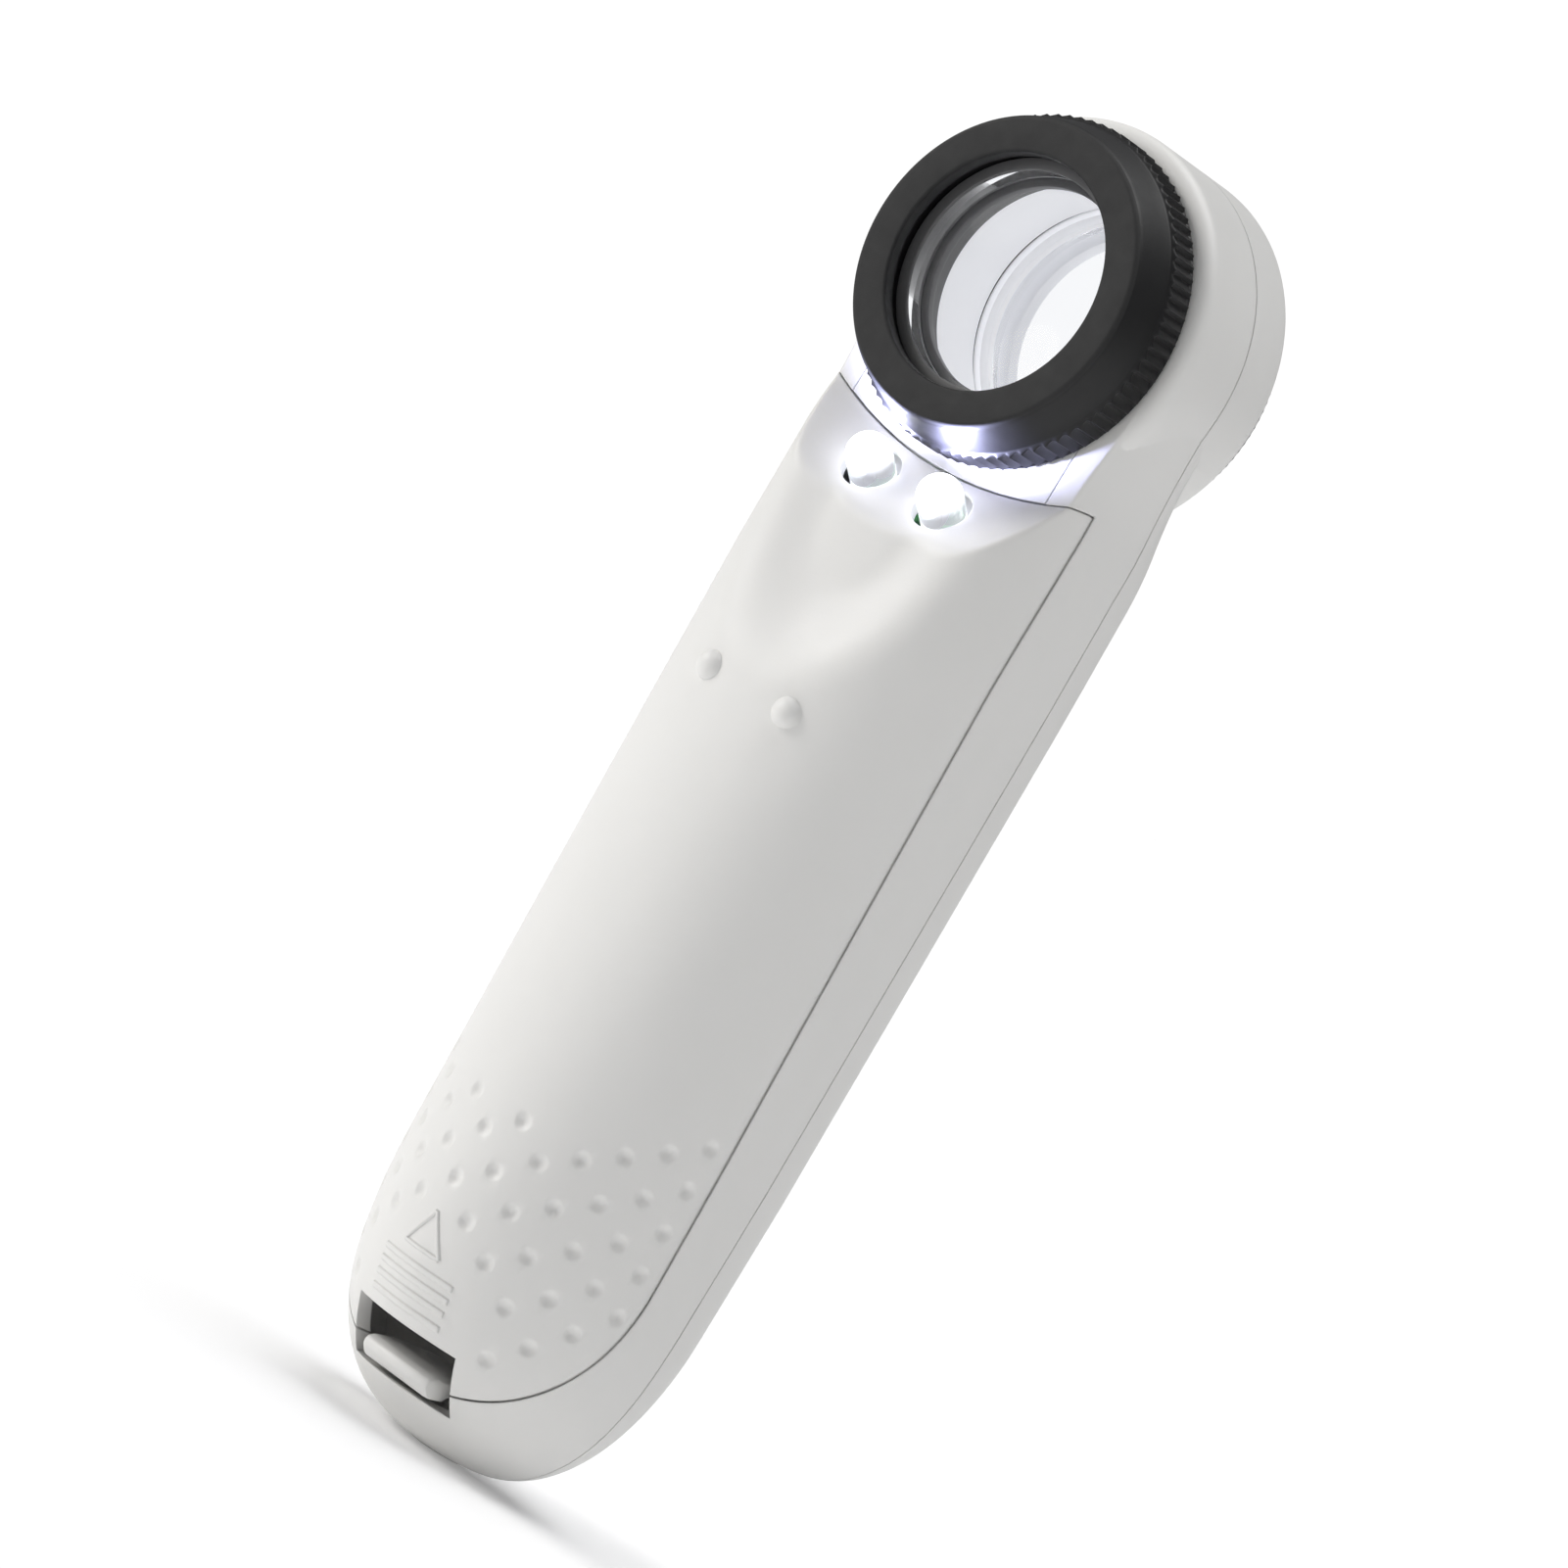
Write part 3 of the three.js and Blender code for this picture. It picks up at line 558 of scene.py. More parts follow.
def jacket(name, positive_up):
    """A plain battery jacket: copper at the positive end, a pale line, and black, with bare steel ends."""
    low = (CELL_LOW_Z - TAIL_TIP_Z) * MM
    high = low + CELL_LENGTH * MM
    steel, copper = (0.6, 0.6, 0.61), (0.42, 0.17, 0.06)
    line, body = (0.62, 0.6, 0.55), (0.018, 0.018, 0.02)
    rim, cap, thin = 0.5 * MM, 0.3 * CELL_LENGTH * MM, 0.9 * MM
    if positive_up:
        bands = [(0, steel), (low + rim, body), (high - cap - thin, line), (high - cap, copper),
                 (high - rim, steel)]
    else:
        bands = [(0, steel), (low + rim, copper), (low + cap, line), (low + cap + thin, body),
                 (high - rim, steel)]
    return banded(name, 2, bands, 0.3, metallic=0.35)


def resistor_body():
    """A beige resistor with colour-code bands along X."""
    beige = (0.55, 0.4, 0.22)
    bands = [(-1, beige)]
    stops = [(-1.9, (0.02, 0.06, 0.3)), (-0.8, (0.25, 0.25, 0.24)), (0.1, (0.12, 0.04, 0.015)),
             (1.7, (0.5, 0.3, 0.03))]
    for x, shade in stops:
        bands += [(x * MM, shade), ((x + 0.45) * MM, beige)]
    return banded("resistor_body", 0, bands, 0.4)


looks["jacket_up"] = jacket("jacket_up", True)
looks["jacket_down"] = jacket("jacket_down", False)
looks["resistor_body"] = resistor_body()


# ---- placing pieces -----------------------------------------------------------------------------
def dress(obj, look, sharp=SHARP_ANGLE):
    """Gives a finished mesh its material and smooth shading that breaks at sharp edges."""
    obj.data.materials.clear()
    obj.data.materials.append(looks[look])
    obj.data.shade_smooth()
    if sharp:
        obj.data.set_sharp_from_angle(angle=sharp)


def place(obj, body, node, slot, look=None, sharp=SHARP_ANGLE):
    """A finished piece: it rides a body, hides the CAD node it stands for and takes the finish of look, or of
    slot when there is no look.
    """
    dress(obj, look or slot, sharp)
    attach(obj, body)
    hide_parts(node)
    return obj


# ---- handle, outside and inside -----------------------------------------------------------------
def section_ring(z, inset, count):
    angles = np.linspace(0, 2 * math.pi, count, endpoint=False)
    c, s = np.cos(angles), np.sin(angles)
    front = s < 0
    power = np.where(front, 2 / front_power(z), 2 / BACK_POWER)
    x = outer_width(z, inset) * np.sign(c) * np.abs(c) ** power
    back = split_depth(z) + outer_back(z, inset) * np.abs(s) ** power
    y = np.where(front, np.minimum(skin_front(x, z, inset), split_depth(z)), back)
    return np.stack([x, y, np.full(count, z)], 1)


def body_solid(name, inset, count, segments, fine):
    tail = TAIL_TIP_Z + 12 * np.linspace(0, 1, 30) ** 2.2
    stations = np.concatenate([tail, np.arange(11, 84, 1.5 * fine), np.arange(84, 104, fine),
                               np.arange(104, HEAD_CENTRE_Z + 0.1, 0.5 * fine)])
    lowest = TAIL_TIP_Z + inset
    stations = np.array([lowest, *stations[stations > lowest + 0.05]])
    solid = skinned(name, [section_ring(z, inset, count) for z in stations])
    r, front, back = HEAD_RADIUS - inset, HEAD_FRONT + inset - 0.01, HEAD_BACK - inset
    rim = rounded([(0, front), (r, front), (r, back), (0, back)], [0, 1.9, 2.4, 0], False, 8)
    return join(solid, turned(name + "_head", rim, segments))


def before_depth(name, limit):
    """Everything whose depth is less than a limit that changes along the handle."""
    z = np.arange(-4, 160.1, 2)
    profile = list(zip(limit(z), z)) + [(-30, 160), (-30, -4)]
    return prism_x(name, profile, -30, 30)


def cover_outline(grow, steps=72):
    """The battery cover's outline: straight sides, a rounded tail and a shallow arc at the head."""
    width = COVER_HALF_WIDTH + grow
    height = COVER_TAIL_CENTRE_Z - COVER_TAIL_Z + grow
    angles = np.linspace(math.pi, 2 * math.pi, steps + 1)
    c, s = np.cos(angles), np.sin(angles)
    x = width * np.sign(c) * np.abs(c) ** (2 / COVER_TAIL_POWER)
    z = COVER_TAIL_CENTRE_Z - height * np.abs(s) ** (2 / COVER_TAIL_POWER)
    top = np.linspace(width, -width, 33)
    return list(zip(x, z)) + list(zip(top, top_arc_z(top) + grow))


def dimple(x, z):
    """A soft round dent, as a turned tool that is cut from the surface at x, z."""
    step = 0.05
    y = float(skin_front(x, z))
    slope_x = float(skin_front(x + step, z) - skin_front(x - step, z)) / (2 * step)
    slope_z = float(skin_front(x, z + step) - skin_front(x, z - step)) / (2 * step)
    inward = np.array([-slope_x, 1, -slope_z]) / math.hypot(1, slope_x, slope_z)
    radius, depth = 1.25, 0.42
    share = np.linspace(0, 1, 9)
    floor = [(radius * t, depth * (1 - t * t) ** 2 - 0.015) for t in share]
    profile = [*floor, (radius, -0.6), (0, -0.6)]
    return turned_along(f"dimple_{x:.1f}_{z:.1f}", profile, (x, y, z), inward, 32)


def dimple_places():
    """Staggered columns round the tail, kept clear of the arrow and of the cover's edge."""
    lowest = {0: 24, 1: 21, 2: 18}
    found = []
    tail_reach = COVER_TAIL_CENTRE_Z - COVER_TAIL_Z - 1.6
    for column in range(7):
        x = HALF_WIDTH * math.sin(math.radians(10.6 * column))
        pitch = 6 - 0.028 * column**2
        z = 34.5 if column == 1 else 31.8 + 2.55 * max(column - 2, 0)
        while z > lowest.get(column, 8):
            edge = (x / (COVER_HALF_WIDTH - 1)) ** COVER_TAIL_POWER
            edge += (max(COVER_TAIL_CENTRE_Z - z, 0) / tail_reach) ** COVER_TAIL_POWER
            if edge < 1.1:
                found += [(x, z)] if column == 0 else [(-x, z), (x, z)]
            z -= pitch
    return found


def raised_strip(name, start, end, width, height=0.17, steps=10):
    """A raised line on the cover between two (x, z) points, with its top standing height proud."""
    start, end = np.array(start, float), np.array(end, float)
    along = (end - start) / np.linalg.norm(end - start)
    side = np.array([-along[1], along[0]]) * width / 2
    shape = [(-1, 0.4), (-1, -0.35), (-0.6, -1), (0.6, -1), (1, -0.35), (1, 0.4)]
    rings = []
    for t in np.linspace(0, 1, steps):
        ring = []
        for across, rise in shape:
            x, z = start + (end - start) * t + side * across
            ring.append((x, float(skin_front(x, z)) + rise * height, z))
        rings.append(ring)
    return skinned(name, rings)


outer = body_solid("outer", 0, 260, 260, 0.8)
inner = body_solid("inner", WALL, 96, 96, 2)
cut(inner, turned("inner_back", [(0, HEAD_BACK - WALL), (HEAD_RADIUS + 0.6, HEAD_BACK - WALL),
                                 (HEAD_RADIUS + 0.6, 40), (0, 40)], 64))
skin = cut(copy_of(outer, "skin"), inner)

# ---- front shell --------------------------------------------------------------------------------
hole = keep(prism_y("cover_hole", cover_outline(LINE_HALF_GAP), -5, 21),
            before_depth("cover_hole_limit", lambda z: cover_rim(z) + 2 * LINE_HALF_GAP))
front_half = before_depth("front", lambda z: split_depth(z) - SPLIT_HALF_GAP)
front_shell = keep(copy_of(skin, "Front_shell"), front_half)
recess = rounded([(4, 3.6), (13.5, 3.6), (16.5, 5.2), (16.5, 12), (4, 12)], [0, 1.5, 1, 0, 0])
recess_floor = prism_x("recess_floor", [(6, 2.2), (19, 2.2), (19, 3.5), (6, 3.5)], -WINDOW_HALF_WIDTH - 0.6,
                       WINDOW_HALF_WIDTH + 0.6)
join(front_shell, keep(recess_floor, copy_of(outer, "recess_limit")))
cut(front_shell, hole,
    turned("barrel_hole", [(0, 4), (16.3, 4), (16.3, 14), (0, 14)], 128),
    box("plate_slot", -14.5, 14.5, 4, 14, 110, HEAD_CENTRE_Z),
    prism_x("finger_recess", recess, -WINDOW_HALF_WIDTH, WINDOW_HALF_WIDTH))
place(front_shell, "handle", "front_shell", "white_shell")

# ---- back shell ---------------------------------------------------------------------------------
back_shell = cut(copy_of(skin, "Back_shell"), before_depth("back", lambda z: split_depth(z) + SPLIT_HALF_GAP),
                 turned("eyepiece_hole", [(0, 20), (17.2, 20), (17.2, 30), (0, 30)], 128),
                 turned("eyepiece_pocket", [(0, HEAD_BACK), (18.8, HEAD_BACK), (18.8, 40), (0, 40)], 128))
for index, (x, z) in enumerate(SCREWS):
    seat = screw_seat(x, z)
    boss_profile = [(0, seat - 1), (SCREW_BOSS_RADIUS, seat - 1), (SCREW_BOSS_RADIUS, 40), (0, 40)]
    boss = turned(f"boss_{index}", boss_profile, 48, (x, z))
    join(back_shell, keep(boss, copy_of(outer, f"outer_{index}")))
    hole_profile = [(0, 20), (SCREW_HOLE_RADIUS, 20), (SCREW_HOLE_RADIUS, 45), (0, 45)]
    pocket_profile = [(0, seat), (SCREW_POCKET_RADIUS, seat), (SCREW_POCKET_RADIUS, 45), (0, 45)]
    cut(back_shell, turned("shank", hole_profile, 32, (x, z)), turned("seat", pocket_profile, 48, (x, z)))
knob_low = SWITCH_Z - 6
cut(back_shell, box("knob_slot", -2.6, 2.6, 28, 36, knob_low + 0.9, knob_low + 9.7))
place(back_shell, "handle", "back_shell", "white_shell")

# ---- battery cover ------------------------------------------------------------------------------
cover = keep(keep(skin, prism_y("cover_part", cover_outline(-LINE_HALF_GAP), -5, 21)),
             before_depth("cover_limit", cover_rim))
cover.name = "Battery_cover"
for x in (-LED_X, LED_X):
    relief = [on_led_axis(x, rise, HOLE_RELIEF) for rise in (-6, -0.5)]
    cut(cover, rod("led_hole", on_led_axis(x, -6), on_led_axis(x, 6), LED_HOLE_RADIUS, 64),
        rod("led_relief", *relief, LED_HOLE_RADIUS, 64))
for x, z in dimple_places():
    cut(cover, dimple(x, z))
for x in (-PIP_X, PIP_X):
    pip = [(0, 2.6), (2.1, 2.6), (2.1, 2.05), (1.75, 1.6), (1.6, 1.0), (1.2, 0.5), (0.65, 0.2), (0, 0.1)]
    join(cover, turned("pip", rounded(pip, 0.4, False), 48, (x, PIP_Z)))
ARROW_HALF_WIDTH, ARROW_BASE_Z, ARROW_TIP_Z = 2.6, 17.5, 21.8
corners = [(-ARROW_HALF_WIDTH, ARROW_BASE_Z), (ARROW_HALF_WIDTH, ARROW_BASE_Z), (0, ARROW_TIP_Z)]
for a, b in zip(corners, corners[1:] + corners[:1]):
    join(cover, raised_strip("arrow", a, b, 0.45, 0.2))
for z in (11.3, 12.9, 14.3, 15.7):
    join(cover, raised_strip("grip_rib", (-5.2, z), (5.2, z), 0.7, 0.22, 24))
cut(cover, box("window", -WINDOW_HALF_WIDTH, WINDOW_HALF_WIDTH, -5, 21, 0, WINDOW_TOP_Z))
place(cover, "battery_cover", "battery_cover", "white_shell")

# ---- latch --------------------------------------------------------------------------------------
tab = rounded([(10.6, 4.1), (12.4, 4.3), (13.4, 5.1), (22, 5.1), (23, 6), (22, 6.9), (13.4, 6.9), (10.4, 6.5),
               (9.4, 6), (9.4, 5.2)], 0.4)
ends = [(-5.3, 0.7), (-5.0, 0.94), (-4.5, 1), (4.5, 1), (5.0, 0.94), (5.3, 0.7)]
middle = np.mean(tab, axis=0)
latch = skinned("Cover_latch", [[(x, *(middle + (np.array(p) - middle) * (scale, 0.5 + 0.5 * scale)))
                                 for p in tab] for x, scale in ends])
place(latch, "cover_latch", "cover_latch", "white_shell")

# ---- focus barrel -------------------------------------------------------------------------------
RIBS = 84
RIB_DEPTH = 0.5


def across_axis(face):
    """How far a face's middle is from the lens axis, in millimetres."""
    return math.hypot(face.center.x / MM, face.center.z / MM - (HEAD_CENTRE_Z - TAIL_TIP_Z))


def ribs(radius, depth, angle):
    """Saw-tooth ribs on the widest band."""
    t = (angle * RIBS / (2 * math.pi)) % 1
    tooth = np.where(t < 0.72, t / 0.72, (1 - t) / 0.28)
    fade = float(smooth(depth, 4.45, 4.9) * (1 - smooth(depth, 8.2, 8.6))) if radius > 18.2 else 0
    return RIB_DEPTH * fade * tooth


barrel_corners = [(13, 0), (16.7, 0), (17.1, 0.5), (17.7, 2.4), (18.3, 4.4), (18.9, 4.7), (18.9, 8.3),
                  (18.5, 8.7),
                  (15.6, 8.7), (15.6, 19.2), (14.9, 19.2), (14.9, 20.8), (15.6, 20.8), (15.6, 21.2),
                  (13.75, 21.2), (13.75, LINER_DEPTH), (13.75, 1.7), (13, 1.7)]
barrel_radii = [0.35, 0.3, 0.3, 0.8, 0.15, 0.2, 0.2, 0.2, 0.3, 0.3, 0.1, 0.1, 0.2, 0.2, 0.2, 0, 0.1, 0.1]
barrel = turned("Focus_barrel", rounded(barrel_corners, barrel_radii), RIBS * 8, ripple=ribs)
place(barrel, "focus_barrel", "focus_barrel", "black_barrel", sharp=math.radians(40))
barrel.data.materials.append(looks["black_rim"])
# Behind the lens cell the bore's wall is pale and has a painted glow.
barrel.data.materials.append(looks["pale_bore_painted_glow"])
for face in barrel.data.polygons:
    depth = (face.center.y - FRONT_Y) / MM
    if depth < 0.45 and face.normal.y < -0.3:
        face.material_index = 1
    elif depth > LINER_DEPTH and across_axis(face) < LENS_BORE:
        face.material_index = 2

# ---- lenses and what holds them -----------------------------------------------------------------
cell = rounded([(12.1, 3), (13.4, 3), (13.4, 12), (12.8, 12), (12.8, 3.5), (12.1, 3.5)], 0.12)
place(turned("Lens_cell", cell, 160), "lens_cell", "lens_cell", "black_cell")
retainer = rounded([(11.4, 7), (12.4, 7), (12.4, 8.4), (11.4, 8.4)], 0.2)
place(turned("Lens_retainer", retainer, 160), "lens_cell", "lens_retainer", "black_cell")


def lens(name, radius, front_edge, back_edge, front_bulge, back_bulge):
    share = np.linspace(0, 1, 25)
    front = [(radius * t, front_edge - front_bulge * (1 - t * t)) for t in share]
    back = [(radius * t, back_edge + back_bulge * (1 - t * t)) for t in share[::-1]]
    return turned(name, front + back, 160)


place(lens("Front_lens", 12.4, 3.85, 6.6, 2.0, 2.0), "lens_cell", "front_lens", "optical_glass")
place(lens("Rear_lens", 13.4, 23.1, 25.2, 1.8, 0.2), "handle", "rear_lens", "optical_glass")
KNURLS = 120


def knurl(radius, depth, angle):
    fade = float(smooth(depth, 26.8, 27.0) * (1 - smooth(depth, 27.8, 28.1))) if radius > 18.2 else 0
    return 0.22 * fade * (0.5 + 0.5 * np.cos(angle * KNURLS))


eyepiece = rounded([(13.9, 21.7), (16.8, 21.7), (16.8, 26.7), (18.4, 26.7), (18.75, 27), (18.75, 27.9),
                    (18.4, 28.2),
                    (13.3, 28.2), (12.6, 27.2), (12.6, 25.8), (13.9, 25.8)], 0.18)
ring = place(turned("Eyepiece_ring", eyepiece, KNURLS * 6, ripple=knurl), "handle", "eyepiece_ring",
             "black_barrel")
# Inside the bore the eyepiece ring is pale and has a painted glow.
ring.data.materials.append(looks["pale_bore_painted_glow"])
for face in ring.data.polygons:
    if across_axis(face) < LENS_BORE:
        face.material_index = 1
clip = rounded([(12.6, 21.8), (13.5, 21.8), (13.5, 22.7), (12.6, 22.7)], 0.15)
# The rear lens clip is shown pale, with a painted glow.
place(turned("Rear_lens_clip", clip, 160), "handle", "rear_lens_clip", "black_cell", "pale_bore_painted_glow")

# ---- LEDs and resistor --------------------------------------------------------------------------
for x, side in ((-LED_X, "left"), (LED_X, "right")):
    arc = np.linspace(0, math.pi / 2, 14)
    dome = [(LED_RADIUS * math.cos(a), LED_DOME_RISE + LED_RADIUS * math.sin(a)) for a in arc]
    dome[-1] = (0, LED_DOME_RISE + LED_RADIUS)
    flange = [(0, LED_BASE_RISE), (LED_FLANGE_RADIUS, LED_BASE_RISE), (LED_FLANGE_RADIUS, LED_BASE_RISE + 1),
              (LED_RADIUS, LED_BASE_RISE + 1)]
    led = turned_along(f"Led_{side}", [*flange, *dome], on_led_axis(x, 0), LED_NORMAL, 64)
    place(led, "handle", f"led_{side}", "led_clear")
resistor_at = on_led_axis(0, LED_BASE_RISE - 3.2)
body = rounded([(0, -3.2), (0.85, -3.2), (1.15, -2.6), (1.15, -1.7), (0.95, -1.3), (0.95, 1.3), (1.15, 1.7),
                (1.15, 2.6), (0.85, 3.2), (0, 3.2)], [0, 0.3, 0.3, 0.3, 0.3, 0.3, 0.3, 0.3, 0.3, 0], False)
place(turned_along("Resistor", body, resistor_at, (1, 0, 0), 40), "handle", "resistor", "resistor_body")

# ---- switch knob --------------------------------------------------------------------------------
lever_z = knob_low + 1.3
top = []
for z in np.linspace(lever_z + 7.3, lever_z - 2.3, 97):
    in_ridges = lever_z - 2.2 < z < lever_z + 7.1
    ridge = max(0.0, math.sin(math.pi * (z - lever_z + 2.2))) if in_ridges else 0
    top.append((33.7 + 0.7 * ridge**0.7, z))
cap_profile = [(32.9, lever_z - 2.3), (32.9, lever_z + 7.3), *top]
cap = prism_x("Switch_knob", rounded(cap_profile, 0.12), -4, 4)
join(cap, box("stem", -2.3, 2.3, 29.7, 33.2, lever_z, lever_z + 5),
     box("pin", -1, 1, 28.6, 30, lever_z + 1.6, lever_z + 4.2))
place(cap, "switch_knob", "switch_knob", "black_knob")

# ---- batteries and springs ----------------------------------------------------------------------
for x, side, positive_up in ((-CELL_X, "left", True), (CELL_X, "right", False)):
    half = CELL_LENGTH / 2
    corners = [(0, -half), (CELL_RADIUS - 0.9, -half), (CELL_RADIUS - 0.7, -half + 0.2),
               (CELL_RADIUS - 0.3, -half),
               (CELL_RADIUS, -half + 0.4), (CELL_RADIUS, half - 0.4), (CELL_RADIUS - 0.3, half),
               (CELL_RADIUS - 0.9, half), (CELL_RADIUS - 1.2, half - 0.3), (CELL_NUB_RADIUS, half - 0.3),
               (CELL_NUB_RADIUS, half + 0.8),
               (2.4, half + 1), (0, half + 1)]
    up = (0, 0, 1 if positive_up else -1)
    middle = (x, CELL_DEPTH, CELL_LOW_Z + half)
    cell_body = turned_along(f"Battery_{side}", rounded(corners, 0.25, False), middle, up, 96)
    look = "jacket_up" if positive_up else "jacket_down"
    place(cell_body, "handle", f"battery_{side}", "battery_jacket", look)
    z0, z1 = (20.6, 23.8) if positive_up else (78.1, 74.9)
    t = np.linspace(0, 1, 160)
    angle, radius = 6 * math.pi * t, 5.2 - 2 * t
    coil = np.stack([x + radius * np.cos(angle), CELL_DEPTH + radius * np.sin(angle), z0 + (z1 - z0) * t], 1)
    place(tube(f"Spring_{side}", coil, SPRING_WIRE_RADIUS, 14), "handle", f"spring_{side}", "spring_steel")

# ---- leads --------------------------------------------------------------------------------------
LEADS = {
    "lead_red": ("lead_red", [(-9, 11.6, 83), (-9.6, 13, 85.5), (-13.2, 20, 87), (-13.6, 26, 88),
                              (-11.6, 28.4, 90), (-7, 28.4, 93), (-4.9, 28.2, 95)]),
    "lead_black": ("lead_black", [(9, 11.6, 83), (9, 13, 86), (8.4, 14.5, 92), (6, 15, 98),
                                  (4.4, 14.6, 101.2), (4, 13.4, 103)]),
    "lead_switch": ("lead_white", [(4.9, 28.2, 95), (7, 28.4, 93), (11.6, 28.4, 91.5), (13.8, 26, 91),
                                   (13, 20, 92), (2, 18.4, 96), (-3.6, 15.6, 99.8), (-4, 13.4, 102.6)]),
}
for node, (slot, points) in LEADS.items():
    place(tube(node.capitalize(), spline(points), LEAD_RADIUS, 14), "handle", node, slot)

# ---- screws -------------------------------------------------------------------------------------
for index, (x, z) in enumerate(SCREWS, 1):
    seat = screw_seat(x, z) + SCREW_CLEARANCE
    tip, crown = seat - SCREW_SHANK_LENGTH, seat + SCREW_HEAD_HEIGHT
    head = [(0, tip), (0.4, tip), (SCREW_SHANK_RADIUS, tip + 0.7), (SCREW_SHANK_RADIUS, seat),
            (SCREW_HEAD_RADIUS, seat), (SCREW_HEAD_RADIUS, seat + 0.7), (2.1, seat + 1.2), (1.4, crown),
            (0, crown)]
    screw = turned(f"Screw_{index}", rounded(head, [0, 0, 0, 0, 0.15, 0.4, 0.4, 0.4, 0], False), 48, (x, z))
    cut(screw, box("slot_a", x - 1.5, x + 1.5, seat + 0.6, 40, z - 0.27, z + 0.27),
        box("slot_b", x - 0.27, x + 0.27, seat + 0.6, 40, z - 1.5, z + 1.5))
    place(screw, "handle", f"screw_{index}", "screw_steel")

bpy.data.objects.remove(outer)

# ---- CAD pieces that are shown as they are ------------------------------------------------------
CARRIED = {
    "chassis": "white_chassis", "barrel_clip": "spring_steel", "led_board": "circuit_board",
    "switch_body": "switch_metal", "contact_link": "contact_metal", "terminal_positive": "contact_metal",
    "terminal_negative": "contact_metal",
}
for node, slot in CARRIED.items():
    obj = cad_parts[node]
    obj.data.materials.clear()
    obj.data.materials.append(looks[slot])


# ---- studio -------------------------------------------------------------------------------------
def floor_material():
    nodes = Nodes("floor")
    cloud = nodes.span(nodes.noise(60, 2), 0, 1)
    nodes.link(nodes.mix(cloud, (0.93, 0.93, 0.935), (0.95, 0.95, 0.955)), "Base Color")
    nodes.link(nodes.span(nodes.noise(5, 3), 0.85, 0.95), "Roughness")
    nodes.set(Emission_Color=(1, 1, 1, 1), Emission_Strength=0.12, Specular_IOR_Level=0.0)
    return nodes.material


FLOOR_HALF = 6.0
floor_mesh = bpy.data.meshes.new("Floor")
floor_mesh.from_pydata([(-FLOOR_HALF, -FLOOR_HALF, 0), (FLOOR_HALF, -FLOOR_HALF, 0),
                        (FLOOR_HALF, FLOOR_HALF, 0), (-FLOOR_HALF, FLOOR_HALF, 0)], [], [(0, 1, 2, 3)])
floor = bpy.data.objects.new("Floor", floor_mesh)
scene.collection.objects.link(floor)
floor.data.materials.append(floor_material())

world = bpy.data.worlds.new("Studio")
scene.world = world
world.use_nodes = True
tree = world.node_tree
tree.nodes.clear()
seen = tree.nodes.new("ShaderNodeBackground")
seen.inputs["Color"].default_value = (1, 1, 1, 1)
seen.inputs["Strength"].default_value = 1.05
fill = tree.nodes.new("ShaderNodeBackground")
fill.inputs["Color"].default_value = (0.96, 0.97, 1, 1)
fill.inputs["Strength"].default_value = 0.21
path = tree.nodes.new("ShaderNodeLightPath")
mix = tree.nodes.new("ShaderNodeMixShader")
output = tree.nodes.new("ShaderNodeOutputWorld")
direct = tree.nodes.new("ShaderNodeMath")
direct.operation = "MAXIMUM"
tree.links.new(path.outputs["Is Camera Ray"], direct.inputs[0])
tree.links.new(path.outputs["Is Transmission Ray"], direct.inputs[1])
tree.links.new(direct.outputs[0], mix.inputs[0])
tree.links.new(fill.outputs[0], mix.inputs[1])
tree.links.new(seen.outputs[0], mix.inputs[2])
tree.links.new(mix.outputs[0], output.inputs[0])

HEIGHT = cad_high.z - cad_low.z
centre = Vector((0, 0, HEIGHT / 2))


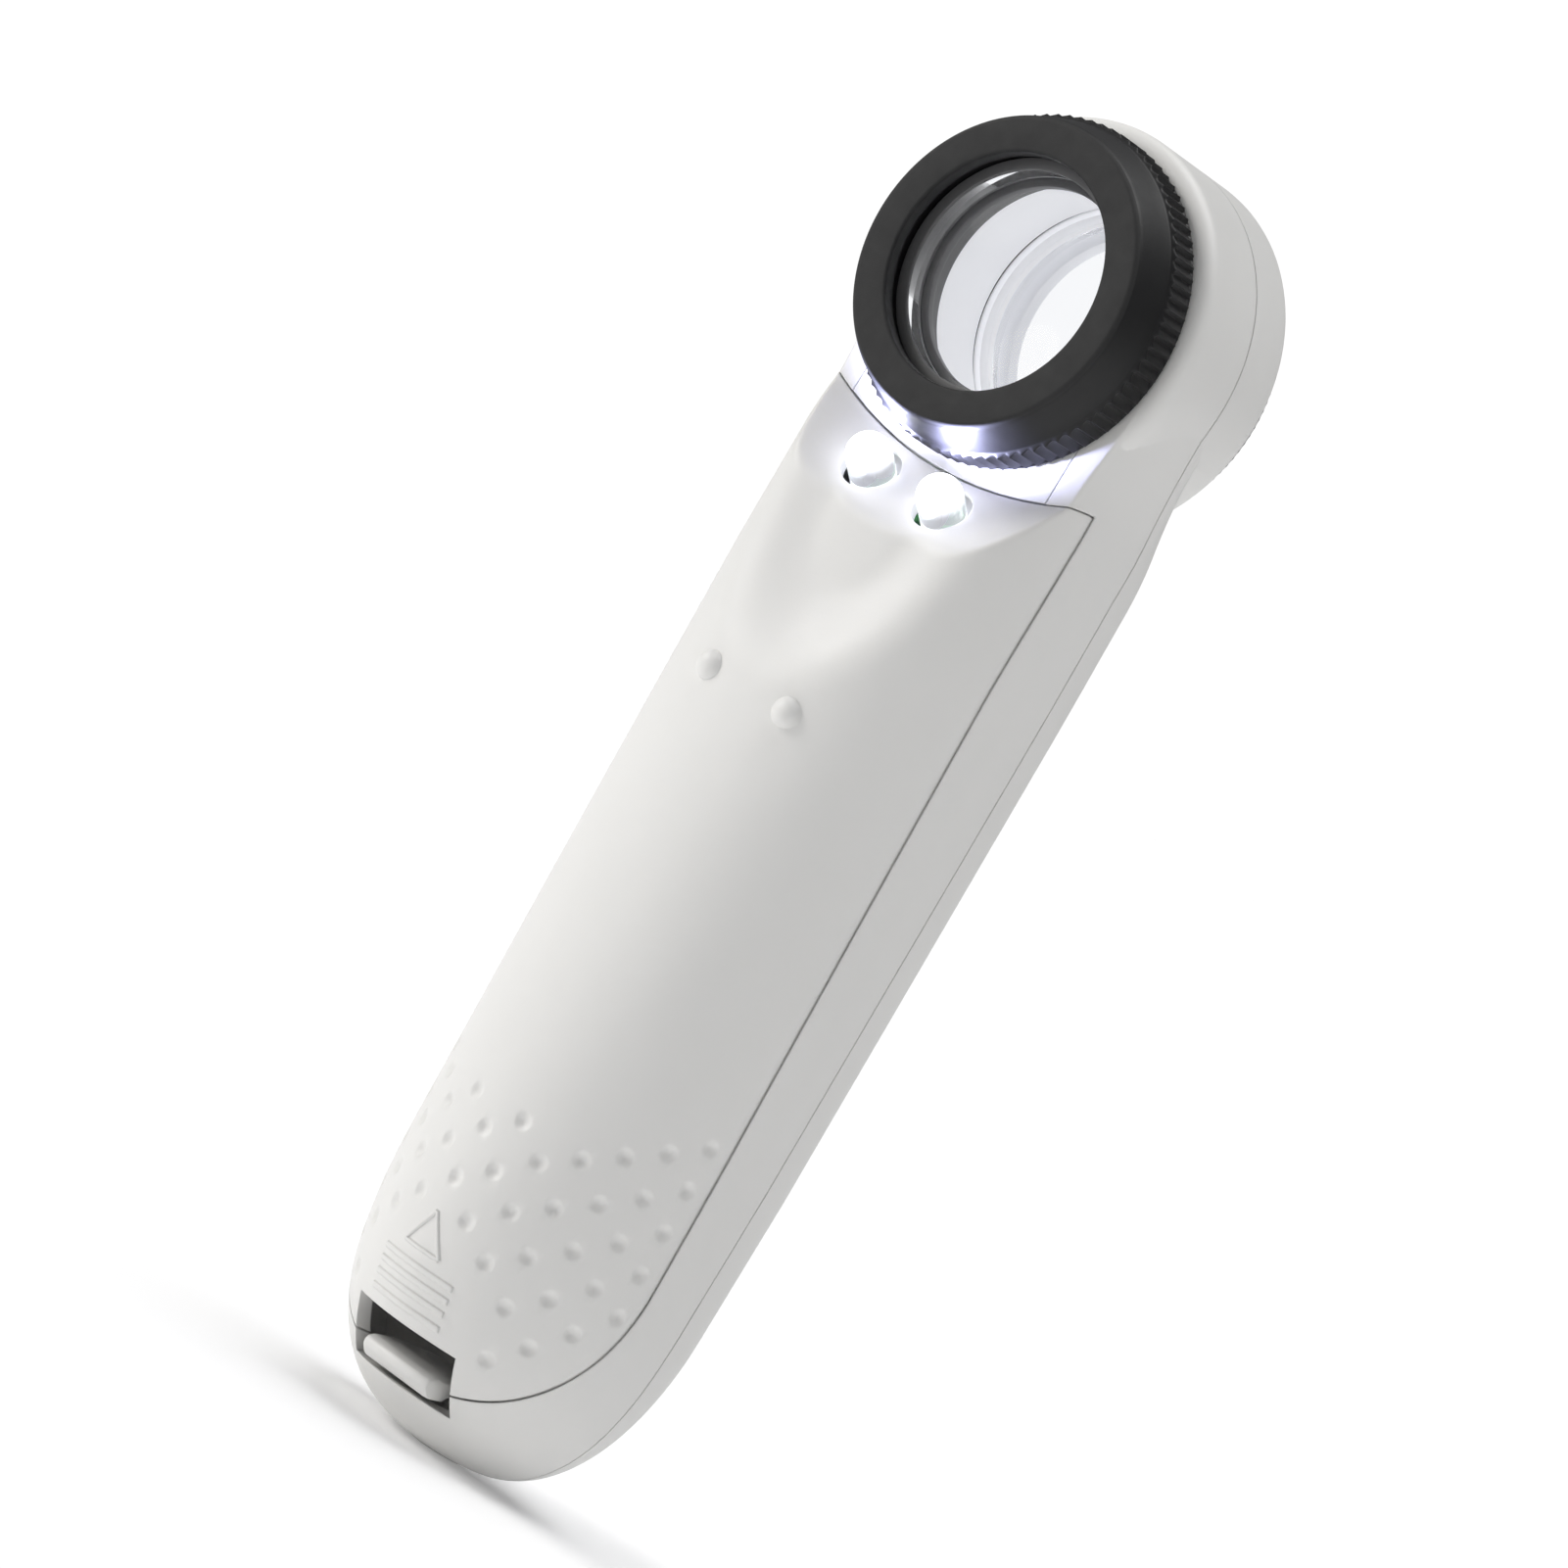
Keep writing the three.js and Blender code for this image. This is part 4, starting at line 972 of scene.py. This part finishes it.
def soft_light(name, direction, strength, spread, color=(1, 1, 1)):
    """Even light from far away, softened over a spread of that many degrees."""
    light = bpy.data.lights.new(name, "SUN")
    light.energy, light.angle, light.color = strength, math.radians(spread), color
    obj = bpy.data.objects.new(name, light)
    scene.collection.objects.link(obj)
    towards = Vector(direction).normalized()
    obj.location = centre + towards
    obj.rotation_mode = "QUATERNION"
    obj.rotation_quaternion = (-towards).to_track_quat("-Z", "Y")


soft_light("Key", (-1.0, -0.75, 0.5), 1.6, 30, (1, 0.985, 0.96))
soft_light("Top", (0.1, 0.1, 1.6), 1.9, 45)

for x in (-LED_X, LED_X):
    spill = bpy.data.lights.new("Led_spill", "SPOT")
    spill.energy, spill.color, spill.shadow_soft_size = 0.075, (0.6, 0.62, 1.0), 0.9 * MM
    spill.spot_size, spill.spot_blend = math.radians(135), 0.9
    lamp = bpy.data.objects.new("Led_spill", spill)
    lamp.location = in_metres(on_led_axis(x, LED_DOME_RISE + LED_RADIUS + 0.4))
    lamp.rotation_mode = "QUATERNION"
    lamp.rotation_quaternion = Vector((0, 0.3, 1)).to_track_quat("-Z", "Y")
    scene.collection.objects.link(lamp)

# ---- camera -------------------------------------------------------------------------------------
VIEW_AZIMUTH, VIEW_ELEVATION, VIEW_ROLL = (math.radians(a) for a in (36.46, 1.81, 31.3))
VIEW_DISTANCE = 0.8181
AIM_ACROSS, AIM_UP = -1.25 * MM, 0.9 * MM
camera_data = bpy.data.cameras.new("Camera")
camera_data.sensor_width = 36
camera_data.lens = 179.9
camera_data.clip_start, camera_data.clip_end = 0.01, 100
camera = bpy.data.objects.new("Camera", camera_data)
scene.collection.objects.link(camera)
level_reach = math.cos(VIEW_ELEVATION)
back = Vector((math.sin(VIEW_AZIMUTH) * level_reach, -math.cos(VIEW_AZIMUTH) * level_reach,
               math.sin(VIEW_ELEVATION)))
level = Vector((0, 0, 1)).cross(back).normalized()
upright = back.cross(level)
right = level * math.cos(VIEW_ROLL) + upright * math.sin(VIEW_ROLL)
above = upright * math.cos(VIEW_ROLL) - level * math.sin(VIEW_ROLL)
place_at = centre + level * AIM_ACROSS + upright * AIM_UP + back * VIEW_DISTANCE
turn = Matrix((right, above, back)).transposed()
camera.rotation_mode = "QUATERNION"
camera.location = place_at
camera.rotation_quaternion = turn.to_quaternion()
scene.camera = camera
scene.view_settings.view_transform = "Standard"
